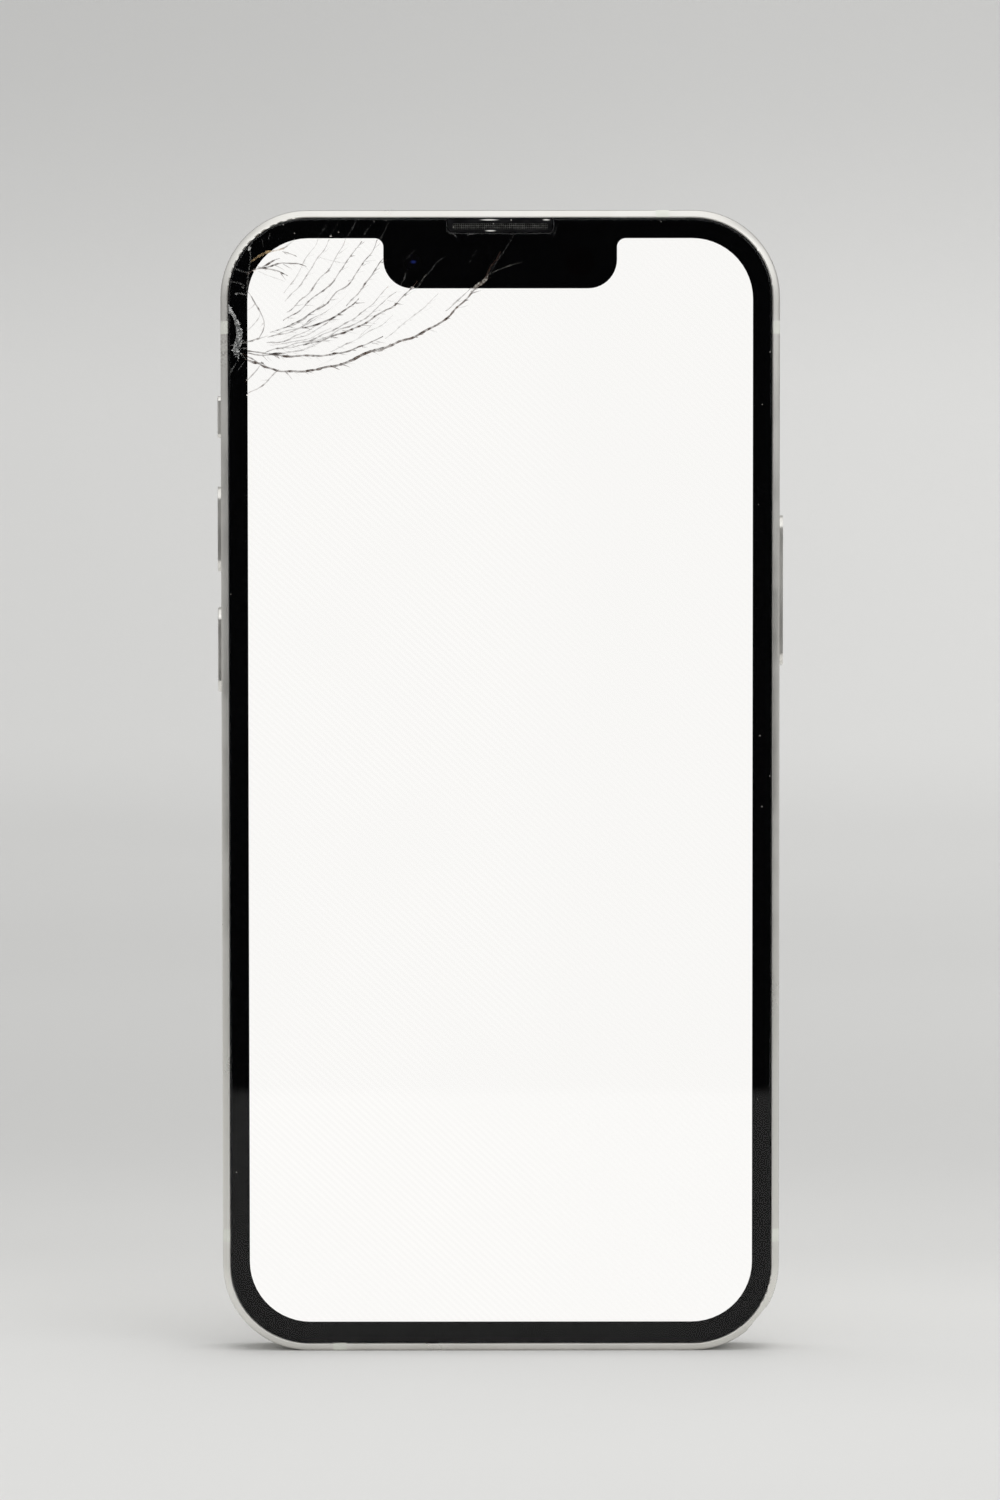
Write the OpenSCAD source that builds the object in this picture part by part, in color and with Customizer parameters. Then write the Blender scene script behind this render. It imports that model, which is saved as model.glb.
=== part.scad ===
// Compact phone with a shattered front glass, standing on its bottom edge.
// Row frame: X right, Y back, Z up; the screen faces -Y and the origin is
// the middle of the bottom face. Every module draws the phone lying flat
// with its screen up (x right, y towards the top edge, z towards the viewer)
// and stood() turns it upright.

/* [Body] */
// Width across the metal band
body_w = 64.2; // [63:0.1:80]
// Height of the metal band
body_h = 131.5; // [126:0.1:165]
// Depth from the front glass to the back glass
body_d = 7.65; // [7.3:0.05:10]
// Corner radius of the band
corner_r = 10; // [9:0.1:12]
// Metal rim seen round each glass
rim_w = 0.92; // [0.8:0.01:1.2]
// Thickness of the band's wall
wall_t = 1.9; // [1.7:0.05:2.3]
// Radius on the band's outer edges
edge_r = 0.42; // [0.2:0.01:0.5]
// Depth of the flat that a knock left on the lower corner
dent_depth = 0.22; // [0.05:0.01:0.4]

/* [Glass] */
// Thickness of the front glass
glass_t = 0.70; // [0.6:0.01:0.9]
// Thickness of the back glass
back_glass_t = 0.80; // [0.6:0.01:0.9]
// Rounding on the front glass's outer edge
glass_edge_r = 0.25; // [0.1:0.01:0.35]
// Width of the open cracks
crack_w = 0.04; // [0.02:0.01:0.1]

/* [Screen] */
// Black border beside the picture
border_side = 2.18; // [1.6:0.01:3]
// Black border over the picture
border_top = 2.28; // [2:0.01:4]
// Black border under the picture
border_bottom = 2.43; // [2.2:0.01:5]
// Corner radius of the picture
picture_r = 7.0; // [5:0.1:8]
// Width of the notch
notch_w = 26.8; // [26:0.1:34]
// Height of the notch below the picture's top edge
notch_h = 5.74; // [5.6:0.01:7]
// Width of the earpiece's cut in the glass
ear_w = 12.0; // [9:0.1:14]

/* [Side keys] */
// Length of the power key
power_len = 17.3; // [12:0.1:22]
// Length of each volume key
volume_len = 9.8; // [7:0.1:11]
// Length of the ring switch's lever
ring_len = 4.8; // [4:0.1:6]
// Width of the keys, front to back
key_w = 3.0; // [2.4:0.05:3.2]
// How far the keys stand out of the band
key_proud = 0.46; // [0.2:0.01:0.6]
// Travel of the power and volume keys
key_travel = 0.25; // [0.1:0.01:0.28]
// Travel of the ring switch, front to back
ring_travel = 0.7; // [0.4:0.05:0.8]

/* [Rear cameras] */
// Distance between the two rear lenses
lens_pitch = 14; // [13.2:0.1:18]
// Radius of each lens cover
lens_r = 4.85; // [3.8:0.05:5.2]
// Height of the camera island over the back glass
island_h = 1.0; // [0.6:0.05:1.6]
// Height of the lens rings over the island
ring_h = 0.6; // [0.4:0.05:1]

/* [Hidden] */
$fn = 96;

// Clearances
fit_gap = 0.05;          // running fit of keys, tray and levers
glass_gap = 0.07;        // between a glass's edge and the metal lip
seat_gap = 0.05;         // between an inner piece and its seat

// The stack, as depths behind the front glass's face
lip_d = 0.12;                                // the metal lip sits this far behind the glass
ink_t = 0.04;                                // printed black border
panel_d = glass_t + ink_t;                   // front of the display panel
panel_t = 0.80;
panel_clear = 0.4;                           // from the display panel to its frame
back_plate_t = 0.15;
seal_t = 0.10;
display_frame_t = 0.91;
ledge_d = panel_d + display_frame_t + seal_t;   // ledge that the display is glued to
floor_t = 0.45;                              // metal floor behind the battery
floor_back_d = body_d - back_glass_t;        // back face of the floor, where the back glass is glued
floor_front_d = floor_back_d - floor_t;
back_lip_d = body_d - lip_d;

// Heights of the same planes in the flat frame
function at_depth(d) = body_d / 2 - d;
room_top = at_depth(ledge_d);
room_floor = at_depth(floor_front_d);
panel_back_z = at_depth(panel_d + panel_t + back_plate_t);

// Plan positions
inner_x = body_w / 2 - wall_t;               // inner face of the side walls
top_in = body_h - wall_t;                    // inner face of the top wall
straight_w = body_w - 2 * corner_r;
straight_h = body_h - 2 * corner_r;
lip_w = rim_w - glass_gap;
picture_x = body_w / 2 - rim_w - border_side;
picture_y0 = rim_w + border_bottom;
picture_y1 = body_h - rim_w - border_top;
notch_y = picture_y1 - notch_h;
notch_r = 3.3;
notch_shoulder_r = 1.0;
ear_h = 1.6;                                 // depth of the earpiece cut below the glass's top edge
ear_corner_r = 0.45;
glass_top = body_h - rim_w;
band_w = 1.5;                                // width of the plastic antenna bands
band_from_end = 13.4;                        // side bands, from the top and from the bottom
band_x = 18.6;                               // top and bottom bands, from the middle

// Side keys, as distances below the top edge
power_y = body_h - 43.7;
ring_y = body_h - 23.7;
volume_up_y = body_h - 36.6;
volume_down_y = body_h - 50.5;
sim_y = body_h - 69.5;
key_flange_t = 0.5;
key_flange_lip = 0.45;
plunger_r = 0.8;
plunger_l = 0.3;
dome_h = 0.25;
switch_base_t = 0.1;
bracket_t = 0.4;
bracket_h = 3.6;
flange_x = inner_x - seat_gap - key_flange_t;             // inner face of a key's flange
dome_x = flange_x - plunger_l - key_travel - seat_gap;    // tip of a dome switch
switch_x = dome_x - dome_h - switch_base_t;               // back of a switch, on its bracket
bracket_x = switch_x - bracket_t;
ring_lever_h = 1.9;
ring_slot_h = ring_lever_h + ring_travel + 2 * fit_gap;
ring_plate_h = 3.3;
ring_plate_l = 7.0;

// Tray and reader
tray_head_l = 14.8;
tray_head_h = 2.0;
tray_head_t = 1.2;
tray_w = 10.8;
tray_t = 1.0;
tray_l = 15.0;
card_l = 12.3;
card_w = 8.8;
card_t = 0.67;
card_clear = 0.1;
reader_wall = 0.3;
reader_clear = 0.1;
reader_h = tray_t + 2 * (reader_wall + reader_clear);
eject_r = 0.4;
eject_y = sim_y - 6.5;

// Main board
board_t = 0.7;
board_z1 = -reader_h / 2;                    // front face of the board, which carries the reader
board_z0 = board_z1 - board_t;
board_x0 = -bracket_x + 0.15;
board_x1 = -8;
board_y0 = 36;
board_y1 = body_h - 13.5;
board_screw_r = 0.6;
board_screw_head_r = 1.0;
standoff_r = 1.3;
board_top_holes_y = board_y1 - 22.5;
board_holes = [
    [board_x0 + 2, board_y0 + 2.5], [board_x1 - 2, board_y0 + 5.5],
    [board_x1 - 2, board_top_holes_y], [board_x0 + 2, board_top_holes_y]
];
shield_gap = 1.8;                            // from a shield to the screws' row
front_can_h = 1.5;

// Battery
cell_x0 = board_x1 + 1.5;
cell_x1 = bracket_x - 0.3;
cell_y0 = 31;
coil_t = 0.4;
coil_z0 = room_floor + 0.075;
coil_z1 = coil_z0 + coil_t;
coil_r1 = 9.5;
coil_r2 = 20;
coil_y = 63;
tape_t = 0.1;
cell_z0 = coil_z1 + tape_t;
cell_z1 = panel_back_z - 0.4;

// Rear cameras
camera_x = inner_x - 10.7;
camera_y1 = body_h - 12;
camera_y0 = camera_y1 - lens_pitch;
camera_side = 12.6;
cell_y1 = camera_y0 - camera_side / 2 - 0.2;
lens_ring_w = 1.1;
lens_ring_r = lens_r + lens_ring_w;
lens_hole_r = lens_r - 0.25;
barrel_r = lens_r - 0.65;
focus_travel = 0.15;
cover_t = 0.4;
island_w = 2 * (lens_ring_r + 2.5);
island_l = lens_pitch + island_w;
back_z = -body_d / 2;
island_z = back_z - island_h;
flash_x = camera_x - island_w / 2 - 4;
flash_y = camera_y1 - 3;
flash_r = 1.9;
mic_hole_r = 0.4;

// Front sensors behind the notch
front_y = body_h - 5.9;
sensor_side = 4.2;
panel_notch_r = 1;
front_camera_x = -10.1;
infrared_x = 9.2;
projector_x = 4.4;
sensor_top_z = at_depth(panel_d + 0.1);
sensor_floor_z = -1.6;
front_lens_r = 1.25;
speaker_x0 = -7.0;
speaker_x1 = 1.8;

// Bottom edge
port_w = 9.0;
port_h = 3.2;
port_wall = 0.3;
port_l = 7.4;
screw_x = 7.0;
screw_r = 0.5;
screw_head_r = 0.8;
screw_head_t = 0.6;
grille_r = 0.75;
grille_pitch = 2.4;
grille_x0 = 11.0;
grille_right = 5;
grille_left = 3;
lug_t = 0.6;
lug_w = 3.2;

// Loudspeaker
speaker_box_x0 = 8.5;
speaker_box_x1 = inner_x - 2.9;
speaker_box_y0 = 5.1;
speaker_box_y1 = 27.7;

// Haptic motor
haptic_x0 = -inner_x + 2.7;
haptic_x1 = -8.5;
haptic_y0 = 12;
haptic_y1 = 28;
haptic_wall = 0.3;
haptic_travel = 0.6;

// Knocked corner: the direction of the flat, from the corner's centre
dent_angle = -39;

// Cracks run from the crushed spot on the left edge. Each has its start (x, y),
// its first heading, its last heading and its length; it bends steadily.
crush_x = -30.2;
crush_y = body_h - 15.0;
crack_steps = 14;
cracks = [
    [0.3, -0.9, -22, 62, 37.5],
    [0.5, -0.4, -4, 54, 30.5],
    [0.4, 0.0, 8, 58, 24.8],
    [0.4, 0.3, 14, 62, 23.0],
    [0.3, 0.5, 26, 62, 21.0],
    [0.2, 0.7, 34, 64, 19.4],
    [0.0, 0.9, 44, 66, 17.6]
];

// The shape of the crushed spot, round its middle
crush_shape = [
    [-0.5, -0.9], [0.1, -1.2], [0.8, -1.5], [1.0, -0.7], [0.7, 0.1],
    [0.9, 0.8], [0.2, 1.3], [-0.4, 0.7], [-0.8, 0.4], [-0.65, -0.3]
];

// ---------- drawing helpers ----------

module stood() rotate([90, 0, 0]) children();

// A slab between two depths behind the front glass's face
module slab(d0, d1) translate([0, 0, at_depth(d1)]) linear_extrude(d1 - d0) children();

// A slab between two heights in the flat frame
module layer(z0, z1) translate([0, 0, z0]) linear_extrude(z1 - z0) children();

// A prism along x; its outline is drawn as (y, z)
module along_x(x0, x1) translate([x0, 0, 0]) rotate([90, 0, 90]) linear_extrude(x1 - x0) children();

// A prism along y; its outline is drawn as (x, z)
module along_y(y0, y1) translate([0, y1, 0]) rotate([90, 0, 0]) linear_extrude(y1 - y0) children();

module box(x0, x1, y0, y1, z0, z1) translate([x0, y0, z0]) cube([x1 - x0, y1 - y0, z1 - z0]);

module disc(r, z0, z1) translate([0, 0, z0]) cylinder(r = r, h = z1 - z0);

module round_rect(w, h, r) {
    square([w - 2 * r, h], center = true);
    square([w, h - 2 * r], center = true);
    for (sx = [-1, 1], sy = [-1, 1])
        translate([sx * (w / 2 - r), sy * (h / 2 - r)]) circle(r);
}

module pill(l, w) {
    square([l - w, w], center = true);
    for (s = [-1, 1]) translate([s * (l - w) / 2, 0]) circle(w / 2);
}

// The phone's outline, taken in by inset
module outline(inset)
    translate([0, body_h / 2])
        round_rect(body_w - 2 * inset, body_h - 2 * inset, corner_r - inset);

module ring(inset0, inset1) difference() {
    outline(inset0);
    outline(inset1);
}

// Carries a section, drawn as (distance from the corner's centre, z), round the phone
module round_the_edge() {
    for (i = [0:3]) {
        sx = (i == 0 || i == 3) ? 1 : -1;
        sy = (i < 2) ? 1 : -1;
        run = (i % 2 == 0) ? straight_h : straight_w;
        translate([sx * straight_w / 2, body_h / 2 + sy * straight_h / 2, 0]) rotate([0, 0, 90 * i]) {
            rotate_extrude(angle = 90) children();
            rotate([90, 0, 0]) linear_extrude(run) children();
        }
    }
}

// ---------- front glass and screen ----------

module notch_shape(grow = 0, r = notch_r) {
    w = notch_w + 2 * grow;
    y0 = notch_y - grow;
    translate([-w / 2 + r, y0]) square([w - 2 * r, notch_h + 2]);
    translate([-w / 2, y0 + r]) square([w, notch_h + 2 - r]);
    for (s = [-1, 1]) translate([s * (w / 2 - r), y0 + r]) circle(r);
}

module notch_shoulders() {
    for (s = [-1, 1]) difference() {
        translate([s * (notch_w + notch_shoulder_r) / 2, picture_y1 - notch_shoulder_r / 2])
            square(notch_shoulder_r, center = true);
        translate([s * (notch_w / 2 + notch_shoulder_r), picture_y1 - notch_shoulder_r])
            circle(notch_shoulder_r);
    }
}

module picture_area() difference() {
    translate([0, (picture_y0 + picture_y1) / 2])
        round_rect(2 * picture_x, picture_y1 - picture_y0, picture_r);
    notch_shape();
    notch_shoulders();
}

module ear_cut(clear = 0) {
    y0 = glass_top - ear_h + clear;
    w = ear_w - 2 * clear;
    r = ear_corner_r;
    translate([-w / 2, y0 + r]) square([w, ear_h + 1]);
    translate([-w / 2 + r, y0]) square([w - 2 * r, ear_h]);
    for (s = [-1, 1]) translate([s * (w / 2 - r), y0 + r]) circle(r);
}

// Heading and places along a crack
function heading(c, t) = c[2] + (c[3] - c[2]) * t;
function crack_point(c, n) = n == 0
    ? [crush_x + c[0], crush_y + c[1]]
    : crack_point(c, n - 1) + c[4] / crack_steps
        * [cos(heading(c, (n - 0.5) / crack_steps)), sin(heading(c, (n - 0.5) / crack_steps))];
function crack_side(c, n, side) = crack_point(c, n)
    + side * crack_w / 2 * [-sin(heading(c, n / crack_steps)), cos(heading(c, n / crack_steps))];

module crack_shape(c) polygon(concat(
    [for (n = [0:crack_steps]) crack_side(c, n, 1)],
    [for (n = [crack_steps:-1:0]) crack_side(c, n, -1)]
));

module glass_section() {
    u = corner_r - rim_w;
    z1 = body_d / 2;
    z0 = z1 - glass_t;
    r = glass_edge_r;
    translate([u - 2 * r, z0]) square([r, glass_t]);
    translate([u - r, z0]) square([r, glass_t - r]);
    translate([u - r, z1 - r]) intersection() {
        circle(r);
        square(r);
    }
}

module cover_glass() color("lightcyan", 0.35) stood() difference() {
    union() {
        slab(0, glass_t) outline(rim_w + 1.5 * glass_edge_r);
        round_the_edge() glass_section();
    }
    slab(-1, glass_t + 1) {
        ear_cut();
        translate([crush_x, crush_y]) polygon(crush_shape);
        for (c = cracks) crack_shape(c);
    }
}

module black_border() color("black") stood() slab(glass_t, panel_d) difference() {
    outline(rim_w + glass_edge_r / 2);
    picture_area();
    ear_cut();
    translate([front_camera_x, front_y]) circle(front_lens_r);
}

module panel_outline() difference() {
    intersection() {
        outline(wall_t + panel_clear);
        translate([-body_w / 2, wall_t + fit_gap + lug_t + 0.1]) square([body_w, body_h]);
    }
    notch_shape(-0.6, panel_notch_r);
}

module display_panel() color("whitesmoke") stood()
    slab(panel_d, panel_d + panel_t) panel_outline();

module display_back_plate() color("dimgray") stood()
    slab(panel_d + panel_t, panel_d + panel_t + back_plate_t) panel_outline();

display_ring_in = 1.0;
module display_frame() color("#202020") stood() {
    difference() {
        union() {
            slab(panel_d, panel_d + display_frame_t) ring(display_ring_in, wall_t);
            for (s = [-1, 1]) translate([s * screw_x, 0, 0]) {
                box(-lug_w / 2, lug_w / 2, wall_t - 0.4, wall_t + fit_gap + lug_t,
                    at_depth(panel_d + display_frame_t), at_depth(panel_d + 0.05));
                box(-lug_w / 2, lug_w / 2, wall_t + fit_gap, wall_t + fit_gap + lug_t,
                    -1.5, at_depth(panel_d + 0.05));
                box(-lug_w / 2, lug_w / 2, wall_t + fit_gap, wall_t + fit_gap + 2.6, -1.5, 1.5);
            }
        }
        slab(0, ledge_d) ear_cut();
        for (s = [-1, 1]) translate([s * screw_x, wall_t - 1, 0])
            rotate([-90, 0, 0]) cylinder(r = screw_r + 0.02, h = 6);
    }
}

module display_seal() color("#303030") stood()
    slab(ledge_d - seal_t, ledge_d) difference() {
        ring(lip_w + 0.1, wall_t - 0.05);
        ear_cut();
    }

module display_flex() color("#8a5a20") stood() {
    top_z = panel_back_z;
    leg_z = board_z1 + 0.6;
    y1 = sim_y - tray_w / 2 - 4.6;
    box(-25, -17, y1 - 7.8, y1, top_z - 0.15, top_z);
    box(-25, -17, y1 - 0.15, y1, leg_z, top_z);
    box(-25, -17, y1 - 6, y1, leg_z, leg_z + 0.15);
    box(-24.5, -17.5, y1 - 6, y1 - 3.4, board_z1, leg_z);
}

// ---------- earpiece and front sensors ----------

slot_w = ear_w - 1;
slot_h = 0.75;
slot_y = body_h - 1.83;
module earpiece_bezel() color("#181818") stood() difference() {
    slab(0.12, ledge_d - seal_t - 0.02) intersection() {
        ear_cut(0.03);
        translate([-ear_w, 0]) square([2 * ear_w, body_h - lip_w - 0.03]);
    }
    slab(0, 3) translate([0, slot_y]) pill(slot_w, slot_h);
}

module earpiece_mesh() color("gray") stood()
    slab(0.4, 0.5) translate([0, slot_y]) pill(slot_w, slot_h);

module earpiece_speaker() color("#2c2c2c") stood() {
    box(speaker_x0, speaker_x1, front_y - 3.1, top_in - 0.1, sensor_floor_z, 1.0);
    box(speaker_x0 + 1.2, speaker_x1 - 0.5, top_in - 1.1, top_in - 0.1, 1.0, room_top);
}

module sensor_body(x, lens) {
    difference() {
        box(x - sensor_side / 2, x + sensor_side / 2, front_y - sensor_side / 2,
            front_y + sensor_side / 2, sensor_floor_z, sensor_top_z - 0.5);
        translate([x, front_y, 0]) disc(lens, sensor_top_z - 1.5, sensor_top_z);
    }
    translate([x, front_y, 0]) difference() {
        disc(lens + 0.4, sensor_top_z - 0.5, sensor_top_z);
        disc(lens, sensor_top_z - 1, sensor_top_z + 1);
    }
    translate([x, front_y, 0]) disc(lens, sensor_top_z - 1.5, sensor_top_z - 0.35);
}

module front_camera() color("#1a1a30") stood() sensor_body(front_camera_x, 1.1);
module infrared_camera() color("#1c1416") stood() sensor_body(infrared_x, 1.3);
module dot_projector() color("#161616") stood()
    box(projector_x - 2.1, projector_x + 2.1, front_y - sensor_side / 2, front_y + sensor_side / 2,
        sensor_floor_z, sensor_top_z - 0.2);

module front_sensor_bracket() color("silver") stood() {
    box(-12.9, 12.2, front_y - 3.4, front_y + 3.0, sensor_floor_z - 0.2, sensor_floor_z);
    for (x = [-12.9, 11.7])
        box(x, x + 0.5, front_y - 3.4, front_y + 3.0, room_floor, sensor_floor_z - 0.2);
}

// ---------- metal frame ----------

module rim_section() {
    z0 = at_depth(back_lip_d);
    z1 = at_depth(lip_d);
    u = corner_r;
    translate([u - lip_w, z0]) square([lip_w - edge_r, z1 - z0]);
    translate([u - edge_r, z0 + edge_r]) square([edge_r, z1 - z0 - 2 * edge_r]);
    for (z = [z0 + edge_r, z1 - edge_r]) translate([u - edge_r, z]) circle(edge_r);
    translate([u - wall_t, at_depth(floor_back_d)])
        square([wall_t - edge_r, floor_back_d - ledge_d]);
}

module side_bands(grow = 0) {
    w = band_w + grow;
    for (y = [band_from_end, body_h - band_from_end], s = [-1, 1])
        translate([s * (body_w / 2 - wall_t / 2 + 0.5), y, 0]) cube([wall_t + 1, w, 2 * body_d], center = true);
    for (p = [[-band_x, wall_t / 2 - 0.5], [band_x, body_h - wall_t / 2 + 0.5]])
        translate([p[0], p[1], 0]) cube([w, wall_t + 1, 2 * body_d], center = true);
}

module knock() translate([straight_w / 2, corner_r, 0]) rotate([0, 0, dent_angle])
    translate([corner_r - dent_depth, -6, -body_d]) cube([5, 12, 2 * body_d]);

module key_slot(s, y, l, w, z = 0)
    along_x(s > 0 ? inner_x - 0.1 : -body_w / 2 - 1, s > 0 ? body_w / 2 + 1 : -inner_x + 0.1)
        translate([y, z]) pill(l, w);

module grille_holes() {
    for (i = [0:grille_right - 1])
        translate([grille_x0 + i * grille_pitch, -1, 0]) rotate([-90, 0, 0]) cylinder(r = grille_r, h = wall_t + 2);
    for (i = [0:grille_left - 1])
        translate([-grille_x0 - i * grille_pitch, -1, 0]) rotate([-90, 0, 0]) cylinder(r = grille_r, h = wall_t + 2);
}

module frame() color("#dedcd2") stood() {
    difference() {
        union() {
            round_the_edge() rim_section();
            slab(floor_front_d, floor_back_d) outline(wall_t - 0.3);
            for (p = board_holes) translate([p[0], p[1], 0]) disc(standoff_r, room_floor - 0.1, board_z0);
        }
        side_bands();
        knock();
        key_slot(1, power_y, power_len + 2 * fit_gap, key_w + 2 * fit_gap);
        key_slot(-1, volume_up_y, volume_len + 2 * fit_gap, key_w + 2 * fit_gap);
        key_slot(-1, volume_down_y, volume_len + 2 * fit_gap, key_w + 2 * fit_gap);
        along_x(-body_w / 2 - 1, -inner_x + 0.1)
            translate([ring_y, 0]) round_rect(ring_len + 2 * fit_gap, ring_slot_h, 0.6);
        // the tray's mouth, the narrower way behind its head and the eject pin's hole
        along_x(-body_w / 2 - 1, -body_w / 2 + tray_head_t + fit_gap)
            translate([sim_y, 0]) pill(tray_head_l + 2 * fit_gap, tray_head_h + 2 * fit_gap);
        along_x(-body_w / 2, -inner_x + 0.1)
            translate([sim_y, 0]) square([tray_w + 2 * fit_gap, tray_t + 2 * fit_gap], center = true);
        translate([-body_w / 2, eject_y, 0]) rotate([0, 90, 0]) cylinder(r = eject_r, h = wall_t + 1);
        along_y(-1, wall_t + 1) pill(port_w + 2 * fit_gap, port_h + 2 * fit_gap);
        for (s = [-1, 1]) translate([s * screw_x, -1, 0]) rotate([-90, 0, 0]) {
            cylinder(r = screw_r + fit_gap, h = wall_t + 2);
            cylinder(r = screw_head_r + fit_gap, h = 1 + screw_head_t + 0.1);
        }
        grille_holes();
        for (y = [camera_y0, camera_y1]) translate([camera_x, y, 0]) disc(lens_hole_r, -body_d, room_floor + 1);
        translate([flash_x, flash_y, 0]) disc(flash_r, -body_d, room_floor + 1);
        for (p = board_holes) translate([p[0], p[1], 0]) disc(board_screw_r - 0.02, room_floor + 0.1, room_floor + 3);
    }
}

module antenna_bands() color("#d2d3c6") stood() intersection() {
    round_the_edge() rim_section();
    side_bands();
}

// ---------- back ----------

module back_glass() color("#f0eee6") stood() difference() {
    union() {
        slab(floor_back_d, body_d) outline(rim_w);
        layer(island_z, back_z + 0.1) translate([camera_x, (camera_y0 + camera_y1) / 2])
            round_rect(island_w, island_l, island_w / 2 - 0.5);
    }
    for (y = [camera_y0, camera_y1]) translate([camera_x, y, 0]) disc(lens_r + 0.35, -2 * body_d, 0);
    translate([flash_x, flash_y, 0]) disc(flash_r, -2 * body_d, 0);
    translate([flash_x, flash_y - 7, 0]) disc(mic_hole_r, -2 * body_d, 0);
}

module camera_ring(y) color("#c9c8c0") stood() translate([camera_x, y, 0]) {
    difference() {
        union() {
            disc(lens_ring_r, island_z - ring_h, island_z);
            disc(lens_r + 0.3, island_z - 0.01, at_depth(floor_back_d) - 0.02);
        }
        disc(lens_r + 0.02, island_z - ring_h - 1, island_z - ring_h + 0.1 + cover_t);
        disc(lens_hole_r, island_z - ring_h - 1, 1);
    }
}

module lens_cover(y) color("#101014") stood() translate([camera_x, y, 0])
    disc(lens_r, island_z - ring_h + 0.1, island_z - ring_h + 0.1 + cover_t - 0.01);

module camera_module(y) color("#26262a") stood() translate([camera_x, y, 0]) difference() {
    box(-camera_side / 2, camera_side / 2, -camera_side / 2, camera_side / 2, room_floor + 0.05, room_top - 0.2);
    disc(barrel_r + fit_gap, room_floor - 1, room_floor + 2.2);
}

module lens_barrel(y) color("#0c0c10") stood() translate([camera_x, y, 0]) difference() {
    disc(barrel_r, island_z - ring_h + cover_t + 0.1 + focus_travel + fit_gap, room_floor + 2.2 - focus_travel - fit_gap);
    disc(barrel_r - 1.2, island_z - ring_h - 1, island_z - ring_h + cover_t + 1.0);
}

module camera_bracket() color("silver") stood()
    box(camera_x - camera_side / 2, camera_x + camera_side / 2, camera_y0 - camera_side / 2,
        camera_y1 + camera_side / 2, room_top - 0.2, room_top - 0.05);

module flash_lens() color("#f4ecc8") stood() translate([flash_x, flash_y, 0])
    disc(flash_r - 0.02, back_z, at_depth(floor_back_d) + 0.2);

module flash_led() color("#e8d870") stood() translate([flash_x, flash_y, 0]) {
    disc(flash_r - 0.3, at_depth(floor_back_d) + 0.2, room_floor);
    disc(flash_r + 0.5, room_floor, room_floor + 0.5);
}

// ---------- power ----------

module battery() color("#1e1e20") stood() layer(cell_z0, cell_z1)
    translate([(cell_x0 + cell_x1) / 2, (cell_y0 + cell_y1) / 2])
        round_rect(cell_x1 - cell_x0, cell_y1 - cell_y0, 1.5);

tab_z = board_z1 + 0.6;
module battery_tab() color("#7a4c18") stood() {
    box(-13, cell_x0, 47.5, 53.5, tab_z, tab_z + 0.15);
    box(-13, -9.6, 48, 53, board_z1, tab_z);
}

module battery_adhesive() color("white") stood()
    for (x = [2, 14]) box(x, x + 6, cell_y0 + 3, cell_y1 - 3, coil_z1, cell_z0);

module charging_coil() color("#b06a34") stood() translate([0, coil_y, 0]) difference() {
    disc(coil_r2, coil_z0, coil_z1);
    disc(coil_r1, coil_z0 - 1, coil_z1 + 1);
}

// ---------- board and card reader ----------

module main_board() color("#1d3a2c") stood() difference() {
    box(board_x0, board_x1, board_y0, board_y1, board_z0, board_z1);
    for (p = board_holes) translate([p[0], p[1], 0]) disc(board_screw_r + 0.1, board_z0 - 1, board_z1 + 1);
}

module board_screws() color("silver") stood() for (p = board_holes) translate([p[0], p[1], 0]) {
    disc(board_screw_head_r, board_z1, board_z1 + 0.35);
    disc(board_screw_r - 0.04, room_floor + 0.15, board_z1 + 0.01);
}

can_x0 = board_x0 + 1.2;
can_x1 = board_x1 - 1.2;
module processor_shield() color("#b8bab8") stood()
    box(can_x0, can_x1, sim_y + tray_w / 2 + 3.6, board_top_holes_y - shield_gap, board_z1, board_z1 + front_can_h);
module radio_shield() color("#b8bab8") stood()
    box(can_x0, can_x1, board_top_holes_y + shield_gap, board_y1 - 1.5, board_z1, board_z1 + front_can_h);
module rear_shield() color("#a8aaa8") stood()
    box(can_x0, can_x1, board_top_holes_y + shield_gap, board_y1 - 1.5, board_z0 - 0.8, board_z0);

reader_x0 = -inner_x + 0.25;
reader_x1 = -body_w / 2 + tray_l + 0.8;
module sim_reader() color("#c2c4c2") stood() difference() {
    box(reader_x0, reader_x1, sim_y - tray_w / 2 - 0.5, sim_y + tray_w / 2 + 0.5, -reader_h / 2, reader_h / 2);
    box(reader_x0 - 1, reader_x1 - reader_wall, sim_y - tray_w / 2 - reader_clear,
        sim_y + tray_w / 2 + reader_clear, -tray_t / 2 - reader_clear, tray_t / 2 + reader_clear);
}

card_x0 = -body_w / 2 + tray_head_t + 0.9;
module sim_tray() color("#d8d6cc") stood() difference() {
    union() {
        along_x(-body_w / 2, -body_w / 2 + tray_head_t) translate([sim_y, 0]) pill(tray_head_l, tray_head_h);
        box(-body_w / 2 + tray_head_t - 0.1, -body_w / 2 + tray_l, sim_y - tray_w / 2, sim_y + tray_w / 2,
            -tray_t / 2, tray_t / 2);
    }
    box(card_x0, card_x0 + card_l + card_clear, sim_y - card_w / 2 - card_clear / 2,
        sim_y + card_w / 2 + card_clear / 2, tray_t / 2 - card_t, tray_t);
    box(card_x0 + 1, card_x0 + card_l - 1, sim_y - card_w / 2 + 1, sim_y + card_w / 2 - 1, -tray_t, tray_t);
    translate([-body_w / 2 - 1, eject_y, 0]) rotate([0, 90, 0]) cylinder(r = eject_r, h = 4);
}

module sim_card() color("#e9e4d0") stood()
    translate([card_x0 + card_clear / 2, sim_y - card_w / 2, tray_t / 2 - card_t])
        cube([card_l, card_w, card_t]);

// ---------- side keys ----------

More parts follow.
